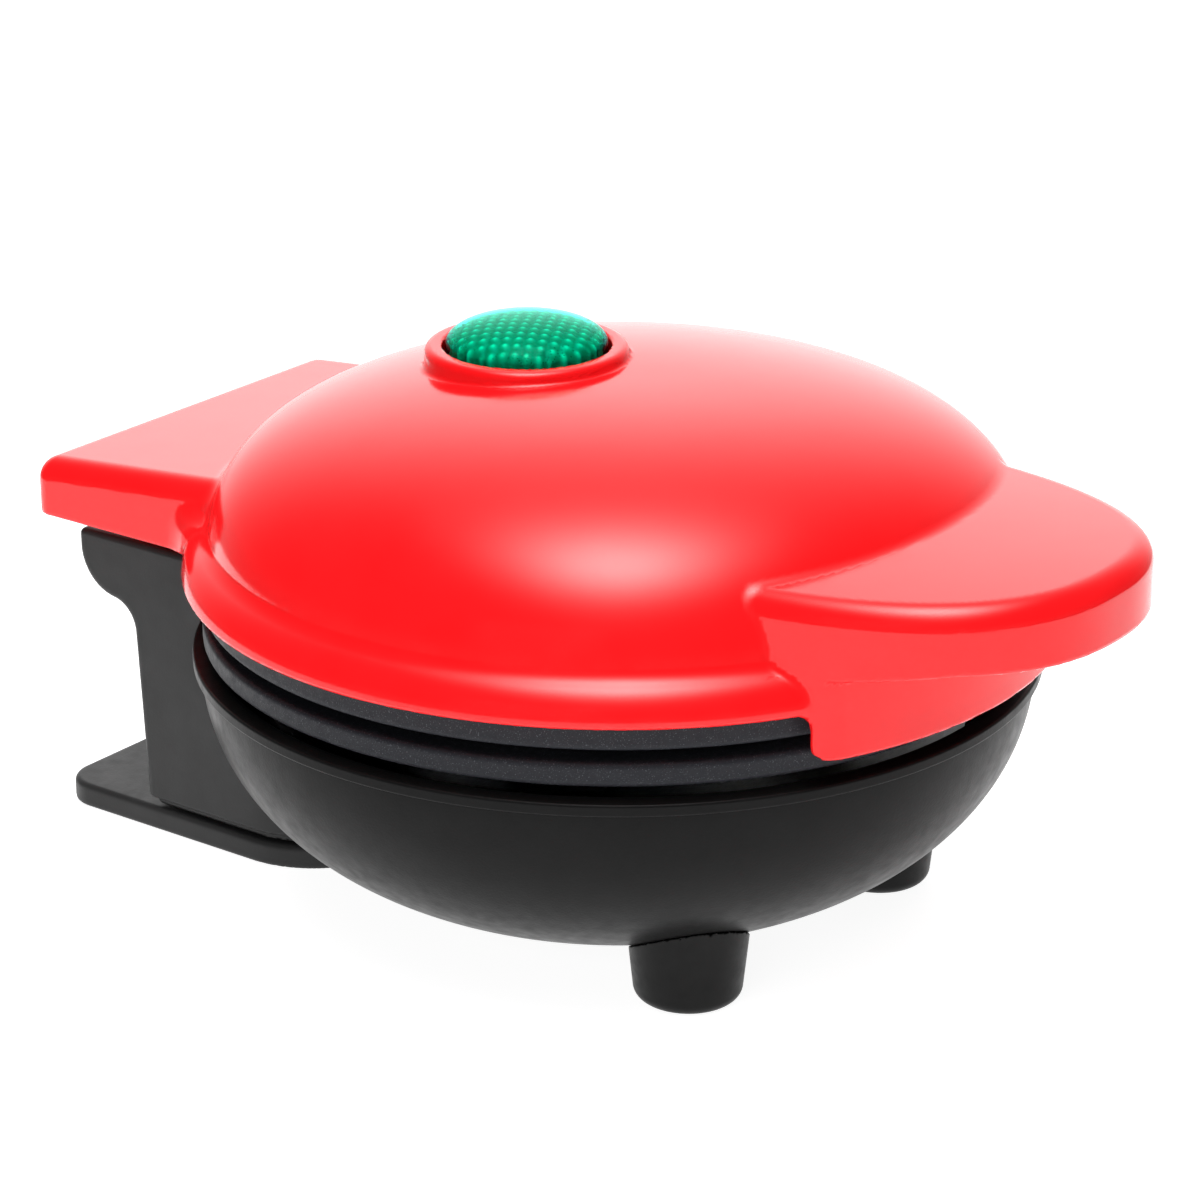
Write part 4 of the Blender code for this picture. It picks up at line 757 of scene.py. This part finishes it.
def bowl_profile():
    """The section of the bowl's wall: up the outside, over the bead and the rim, and down the inside."""
    floor_z = BOWL_FLAT_Z + BOWL_WALL
    outer = foot_and_curve(bowl_curve(0.0, BOWL_FLAT_Z), OUTER_FOOT_ROUND, BOWL_FLAT_Z + OUTER_CURVE_FROM)
    inner = foot_and_curve(bowl_curve(BOWL_WALL, floor_z), INNER_FOOT_ROUND, floor_z + INNER_CURVE_FROM)
    bead_low = BOWL_RIM_Z - BEAD_HEIGHT
    bead = [(BOWL_RADIUS - BEAD_ROOT, bead_low, 0.25), (BOWL_RIM_RADIUS, bead_low + BEAD_CHAMFER, 0.35),
            (BOWL_RIM_RADIUS, BOWL_RIM_Z, 0.45), (BOWL_RADIUS - BOWL_WALL, BOWL_RIM_Z, 0.45)]
    return rounded_path([(BOWL_FLOOR_RADIUS, BOWL_FLAT_Z, 0.0)] + outer + bead
                        + inner[::-1] + [(BOWL_FLOOR_RADIUS, floor_z, 0.0)])


def stadium(half_length, y, radius):
    """A slot's outline: two half circles joined by straight sides."""
    points = []
    for side, start in ((1.0, -0.5), (-1.0, 0.5)):
        for step in range(VENT_STEPS + 1):
            a = math.pi * (start + step / VENT_STEPS)
            points.append((side * half_length + radius * math.cos(a), y + radius * math.sin(a)))
    return points


def bowl_moulding():
    """The bowl: a turned wall with a bead round its rim, and a flat floor with three vents."""
    path = bowl_profile()
    piece = mesh_from("bowl_moulding", *turned(path, BOWL_STEPS))

    bm = bmesh.new()
    bm.from_mesh(piece.data)
    bm.verts.ensure_lookup_table()
    under_ring = bm.verts[:BOWL_STEPS]
    upper_ring = bm.verts[(len(path) - 1) * BOWL_STEPS:]
    slots = [stadium(VENT_HALF_LENGTH, y, VENT_RADIUS) for y in VENT_PLACES]
    loops = []
    for height in (BOWL_FLAT_Z, BOWL_FLAT_Z + BOWL_WALL):
        loops.append([[bm.verts.new((x * MM, (y + BODY_Y) * MM, height * MM)) for x, y in slot]
                      for slot in slots])
    for ring, holes in ((under_ring, loops[0]), (upper_ring, loops[1])):
        edges = []
        for loop in [ring] + holes:
            for first, second in zip(loop, loop[1:] + loop[:1]):
                edges.append(bm.edges.get((first, second)) or bm.edges.new((first, second)))
        bmesh.ops.triangle_fill(bm, use_beauty=True, use_dissolve=False, edges=edges)
    for low, high in zip(*loops):
        for n in range(len(low)):
            m = (n + 1) % len(low)
            bm.faces.new((low[n], low[m], high[m], high[n]))
    bmesh.ops.recalc_face_normals(bm, faces=bm.faces)
    bm.to_mesh(piece.data)
    bm.free()
    piece.data.shade_smooth()
    piece.data.set_sharp_from_angle(angle=SHARP_FROM)
    return piece


def front_plan(x, y):
    """The plan that the arm and the foot plate share at the front, with its two large corners."""
    return round_max(np.abs(x) - PLATE_HALF_WIDTH, PLATE_FRONT_Y - y, FRONT_CORNER)


def arm_side(y, z):
    """Distance to the arm's outline in side view: a leaning wall, a fillet and the flare round the pin."""
    fillet_y = ARM_NECK_Y + FILLET_RADIUS
    reach = FLARE_RADIUS + FILLET_RADIUS
    drop = math.sqrt(reach ** 2 - (fillet_y - HINGE_Y) ** 2)
    fillet_z = HINGE_Z - drop
    lean = (ARM_NECK_Y - ARM_FOOT_Y) / (fillet_z - ARM_BOTTOM_Z)
    wall_y = ARM_FOOT_Y + lean * (np.minimum(z, fillet_z) - ARM_BOTTOM_Z)
    wall = np.where(z < fillet_z, (y - wall_y) / math.hypot(1.0, lean), y - ARM_NECK_Y)
    flare = np.hypot(y - HINGE_Y, np.minimum(z - HINGE_Z, 0.0)) - FLARE_RADIUS
    ux, uz = (HINGE_Y - fillet_y) / reach, drop / reach
    past_centres = (y - fillet_y) * uz - (z - fillet_z) * ux
    patch = np.maximum(FILLET_RADIUS - np.hypot(y - fillet_y, z - fillet_z), fillet_z - z)
    patch = np.maximum(patch, np.maximum(past_centres, y - fillet_y))
    return np.minimum(np.minimum(wall, flare), patch)


def arm_field(x, y, z):
    across = np.abs(x)
    around = np.hypot(y - HINGE_Y, z - HINGE_Z)
    near_rim = np.maximum(np.hypot(x, y) - ARM_CLEAR_RADIUS + ARM_GAP, BOWL_RIM_Z - ARM_RIM_GAP - z)
    clear = np.minimum(closed_bowl(x, y, z) - ARM_GAP, near_rim)
    side, plan = arm_side(y, z), front_plan(x, y)
    block = round_max(round_max(side, plan, 1.0), z - ARM_TOP_Z, 0.9)
    shown = round_max(block, SHADOW_TOP_Z - z, 0.5)
    shadow_line = np.maximum(np.maximum(block + SHADOW_DEPTH, ARM_BOTTOM_Z - z), z - SHADOW_LAP_Z)
    arm = carve(np.minimum(shown, shadow_line), clear, ARM_EDGE)
    hollow = np.maximum(np.maximum(side, plan) + ARM_WALL, -(clear - ARM_WALL))
    cheek = np.maximum(around - CHEEK_RADIUS, ARM_HALF_WIDTH - ARM_WALL - CHEEK_WALL - across)
    cheek = np.maximum(cheek, z - ARM_TOP_Z + CHEEK_TOP_GAP)
    arm = carve(arm, np.maximum(hollow, -cheek), ARM_EDGE)
    slot = np.abs(across - LUG_X) - LUG_HALF_WIDTH - SLOT_GAP
    arm = carve(arm, np.maximum(slot, np.maximum(HINGE_Y - y, SLOT_BOTTOM_Z - z)), ARM_EDGE)
    arm = carve(arm, np.maximum(around - PIN_HOLE, across - PIN_REACH), 0.2)
    return carve(arm, np.maximum(np.hypot(x, z - GLAND_Z) - GLAND_HOLE, GLAND_HOLE_Y - y), 0.3)


def sole_field(x, y, z):
    """The flat foot plate under the arm, with its four screw pockets."""
    back = round_max(np.abs(x) - PLATE_HALF_WIDTH, y - PLATE_REAR_Y, REAR_CORNER)
    plan = np.where(y < PLATE_MIDDLE_Y, front_plan(x, y), back)
    plate = round_max(round_max(plan, z - PLATE_TOP_Z, 0.9), -z, 0.6)
    for px, py in SOLE_POCKETS:
        hole = np.hypot(np.abs(x) - px, y - py)
        plate = carve(plate, np.maximum(hole - POCKET_RADIUS, z - SOLE_POCKET_DEPTH), 0.25)
    return plate


def foot_field(x, y, z):
    """Both round front feet, cut to the bowl's curve. Each piece takes its own side of it."""
    c = np.hypot(np.abs(x) - FOOT_X, y - FOOT_Y)
    taper = (FOOT_TOP_RADIUS - FOOT_BOTTOM_RADIUS) / FOOT_TOP_Z
    wall = (c - FOOT_BOTTOM_RADIUS - taper * z) / math.hypot(1.0, taper)
    foot = round_max(round_max(wall, -z, FOOT_ROUND), z - FOOT_TOP_Z, 0.4)
    foot = carve(foot, closed_bowl(x, y, z) - FOOT_GAP, 0.15)
    return carve(foot, np.maximum(c - POCKET_RADIUS, z - FOOT_POCKET_DEPTH), 0.3)


def gland_field(x, y, z):
    """The bush in the arm's rear wall: a neck, a rounded head and the way through them."""
    c = np.hypot(x, z - GLAND_Z)
    along = y - ARM_NECK_Y
    neck = np.maximum(c - NECK_RADIUS, slab(along, NECK_FROM, NECK_TO, 0.2))
    head = round_max(c - BUSH_RADIUS, slab(along, BUSH_FROM, BUSH_TO, BUSH_ROUND), BUSH_ROUND)
    return carve(round_min(neck, head, 0.2), c - WAY_RADIUS, 0.4)


show(bowl_moulding(), BLACK, "base", "black_satin", "base_bowl")
gland = solid("gland_bush", gland_field, (-6.8, 65.8, GLAND_Z - 6.8), (6.8, 75.0, GLAND_Z + 6.8), spacing=0.4)
show(gland, RUBBER, "base", "black_rubber", "cord_gland")
arm = solid("arm_moulding", arm_field, (-29.0, 32.0, 3.4), (29.0, 84.0, 48.0), spacing=0.52)
show(arm, ARM_BLACK, "base", "black_satin", "rear_arm")
sole = solid("foot_plate_moulding", sole_field, (-29.0, 32.0, -0.8), (29.0, 90.5, 4.6), spacing=0.48)
show(sole, ARM_BLACK, "base", "black_satin", "foot_plate")
for word, side in (("left", -1.0), ("right", 1.0)):
    foot = solid("round_foot_" + word, foot_field,
                 *column(side * FOOT_X, FOOT_Y, 9.8, -0.8, 15.0), spacing=0.4)
    show(foot, RUBBER, "base", "black_rubber", "rubber_foot_" + word)


# ---------------------------------------------------------------- screws and inner pieces

HEAD_RADIUS, HEAD_HEIGHT, HEAD_ROUND, SHANK_RADIUS, SHANK_LENGTH = 2.8, 1.2, 0.7, 1.45, 3.0
CROSS_REACH, CROSS_HALF_WIDTH, CROSS_BOTTOM = 1.5, 0.32, 0.35


def screw_field(x, y, z):
    """A pan head with a cross recess on a short shank. Its seat is at z = 0."""
    c = np.hypot(x, y)
    head = round_max(c - HEAD_RADIUS, z - HEAD_HEIGHT, HEAD_ROUND)
    head = round_max(head, -z, 0.1)
    arm_x = np.maximum(np.abs(x) - CROSS_REACH, np.abs(y) - CROSS_HALF_WIDTH)
    arm_y = np.maximum(np.abs(y) - CROSS_REACH, np.abs(x) - CROSS_HALF_WIDTH)
    head = carve(head, np.maximum(np.minimum(arm_x, arm_y), CROSS_BOTTOM - z), 0.08)
    shank = np.maximum(c - SHANK_RADIUS, slab(z, -SHANK_LENGTH, 0.1, 0.1))
    return np.minimum(head, shank)


def screw_piece(node, hanging):
    """A cross-headed screw in the place of a CAD screw, with its head up or hanging down."""
    low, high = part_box(node)
    x, y = (low.x + high.x) / 2.0 / MM, (low.y + high.y) / 2.0 / MM - BODY_Y
    side = -1.0 if hanging else 1.0
    seat = (low.z if hanging else high.z) / MM - side * HEAD_HEIGHT

    def field(px, py, pz):
        return screw_field(px - x, py - y, side * (pz - seat))

    ends = sorted((seat - side * (SHANK_LENGTH + 0.2), seat + side * (HEAD_HEIGHT + 0.3)))
    return solid("cross_" + node, field, *column(x, y, HEAD_RADIUS + 0.2, *ends), spacing=0.17)


MATERIAL_OF = {
    "hinge_pin": STEEL, "terminal_block": CERAMIC, "thermal_fuse": CERAMIC,
    "lamp_holder": CERAMIC, "indicator_lamp": PRISM_GREEN, "lens_retainer": BLACK,
    "lower_element": DULL_STEEL, "upper_element": DULL_STEEL, "lower_thermostat": DULL_STEEL,
    "upper_thermostat": DULL_STEEL, "lower_reflector": SHEET, "upper_reflector": SHEET,
    "lower_lead_left": SLEEVE, "lower_lead_right": SLEEVE, "upper_lead_left": SLEEVE,
    "upper_lead_right": SLEEVE,
}
for node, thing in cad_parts.items():
    material = STEEL if "screw" in node else MATERIAL_OF.get(node)
    if material:
        thing.data.materials.clear()
        thing.data.materials.append(material)
    if "screw" in node and "arm_screw" not in node:
        part = "lid" if node.startswith("upper") else "base"
        show(screw_piece(node, not node.startswith("lower")), STEEL, part, "bright_steel", node)


# ---------------------------------------------------------------- floor, light and camera, in metres

CAMERA_TURN, CAMERA_RISE = math.radians(-53.38), math.radians(20.95)
CAMERA_PLACE = Vector((-0.4380, -0.3222 + BODY_Y * MM, 0.2537))
TOWARDS_CAMERA = Vector((math.sin(CAMERA_TURN), -math.cos(CAMERA_TURN), 0.0))
CAMERA_RIGHT = Vector((0.0, 0.0, 1.0)).cross(TOWARDS_CAMERA)
CAMERA_LENS, CAMERA_SENSOR, CAMERA_CLIP = 118.21, 36.0, 0.01
SOFTBOX_LEAN, SOFTBOX_ACROSS, SOFTBOX_ALONG, SOFTBOX_STRENGTH = 0.07, 0.245, 0.38, 12.0
WALL_RISE, WALL_SPREAD, WALL_STRENGTH = math.radians(12.0), 0.17, 2.0
BACKDROP_WHITE, FLOOR_GLOW = 1.1, 0.92
FLOOR_MIDDLE, FLOOR_NEAR, FLOOR_FAR, FLOOR_Z, FLOOR_STEPS = 0.001, 0.32, 8.0, -0.00015, 96
FILL_PLACE, FILL_AIM, FILL_SIZE, FILL_POWER = (-0.95, -0.25, 0.35), (0.0, 0.0, 0.04), (0.6, 0.5), 2.5


def floor_finish():
    f = Finish("pale_floor")
    f.link(f.ramp(f.noise(6.0), [(0.3, (0.50, 0.50, 0.50)), (0.7, (0.52, 0.52, 0.52))]), "Base Color")
    f.link(f.ramp(f.noise(40.0), [(0.3, 0.84), (0.7, 0.90)]), "Roughness")
    f.set(Specular_IOR_Level=0.1, Emission_Color=(1.0, 1.0, 1.0, 1.0), Emission_Strength=FLOOR_GLOW)
    return f.material


def floor_ring(name, inner, outer, finish):
    """A flat ring of floor between two radii."""
    turns = np.linspace(0.0, 2.0 * math.pi, FLOOR_STEPS, endpoint=False)
    circle = np.stack([np.cos(turns), np.sin(turns), np.zeros(FLOOR_STEPS)], 1)
    origin = np.array((0.0, -BODY_Y, FLOOR_Z / MM))
    points = np.concatenate([circle * inner, circle * outer]) / MM + origin
    here = np.arange(FLOOR_STEPS)
    after = (here + 1) % FLOOR_STEPS
    made = mesh_from(name, points, np.stack([here, here + FLOOR_STEPS, after + FLOOR_STEPS, after], 1))
    made.data.materials.append(finish)
    return made


def area(name, place, aim, size, power):
    """A soft light that gives no reflection of its own."""
    light = bpy.data.lights.new(name, "AREA")
    light.shape = "RECTANGLE"
    light.size, light.size_y = size
    light.energy = power
    thing = bpy.data.objects.new(name, light)
    thing.location = place
    thing.rotation_euler = (Vector(aim) - Vector(place)).to_track_quat("-Z", "Y").to_euler()
    thing.visible_glossy = False
    bpy.context.scene.collection.objects.link(thing)


class Surroundings:
    """The studio round the object: a softbox overhead and a bright wall behind, dark elsewhere."""

    def __init__(self):
        world = bpy.data.worlds.new("studio")
        bpy.context.scene.world = world
        world.use_nodes = True
        self.tree = world.node_tree
        self.tree.nodes["Background"].inputs["Color"].default_value = (1.0, 1.0, 1.0, 1.0)
        self.way = self.tree.nodes.new("ShaderNodeTexCoord").outputs["Generated"]

    def along(self, axis):
        node = self.tree.nodes.new("ShaderNodeVectorMath")
        node.operation = "DOT_PRODUCT"
        self.tree.links.new(self.way, node.inputs[0])
        node.inputs[1].default_value = axis
        return node.outputs["Value"]

    def math(self, operation, a, b=None):
        node = self.tree.nodes.new("ShaderNodeMath")
        node.operation = operation
        for value, socket in zip((a, b), node.inputs):
            if isinstance(value, (int, float)):
                socket.default_value = value
            elif value is not None:
                self.tree.links.new(value, socket)
        return node.outputs["Value"]

    def glow(self, terms, strength):
        """A soft patch: strength * exp(-sum of squares of the terms)."""
        total = None
        for axis, centre, spread in terms:
            off = self.math("DIVIDE", self.math("SUBTRACT", self.along(axis), centre), spread)
            square = self.math("MULTIPLY", off, off)
            total = square if total is None else self.math("ADD", total, square)
        fall = self.math("EXPONENT", self.math("MULTIPLY", total, -1.0))
        return self.math("MULTIPLY", fall, strength)

    def finish(self, strength, seen):
        """Light and reflect with one strength, and be seen as a plain backdrop with the other."""
        direct = self.tree.nodes.new("ShaderNodeLightPath").outputs["Is Camera Ray"]
        mix = self.tree.nodes.new("ShaderNodeMix")
        self.tree.links.new(direct, mix.inputs["Factor"])
        self.tree.links.new(strength, mix.inputs["A"])
        mix.inputs["B"].default_value = seen
        self.tree.links.new(mix.outputs["Result"], self.tree.nodes["Background"].inputs["Strength"])


def surroundings():
    studio = Surroundings()
    up = Vector((0.0, 0.0, 1.0))
    overhead = studio.glow([(CAMERA_RIGHT, 0.0, SOFTBOX_ACROSS),
                            (TOWARDS_CAMERA, SOFTBOX_LEAN, SOFTBOX_ALONG)], SOFTBOX_STRENGTH)
    overhead = studio.math("MULTIPLY", overhead, studio.math("GREATER_THAN", studio.along(up), 0.0))
    wall = -TOWARDS_CAMERA * math.cos(WALL_RISE) + up * math.sin(WALL_RISE)
    off = studio.math("DIVIDE", studio.math("SUBTRACT", studio.along(wall), 1.0), WALL_SPREAD)
    behind = studio.math("MULTIPLY", studio.math("EXPONENT", off), WALL_STRENGTH)
    studio.finish(studio.math("ADD", overhead, behind), BACKDROP_WHITE)


def camera():
    back = TOWARDS_CAMERA * math.cos(CAMERA_RISE) + Vector((0.0, 0.0, math.sin(CAMERA_RISE)))
    data = bpy.data.cameras.new("camera")
    data.lens = CAMERA_LENS
    data.sensor_width = CAMERA_SENSOR
    data.clip_start = CAMERA_CLIP
    thing = bpy.data.objects.new("camera", data)
    bpy.context.scene.collection.objects.link(thing)
    pose = Matrix((CAMERA_RIGHT, back.cross(CAMERA_RIGHT), back)).transposed().to_4x4()
    pose.translation = CAMERA_PLACE
    thing.matrix_world = pose
    bpy.context.scene.camera = thing


pale_floor = floor_finish()
floor_ring("floor_near", FLOOR_MIDDLE, FLOOR_NEAR, pale_floor)
floor_ring("floor_far", FLOOR_NEAR, FLOOR_FAR, pale_floor).visible_glossy = False
surroundings()
area("left_fill", FILL_PLACE, FILL_AIM, FILL_SIZE, FILL_POWER)
camera()
bpy.context.scene.view_settings.view_transform = "Standard"
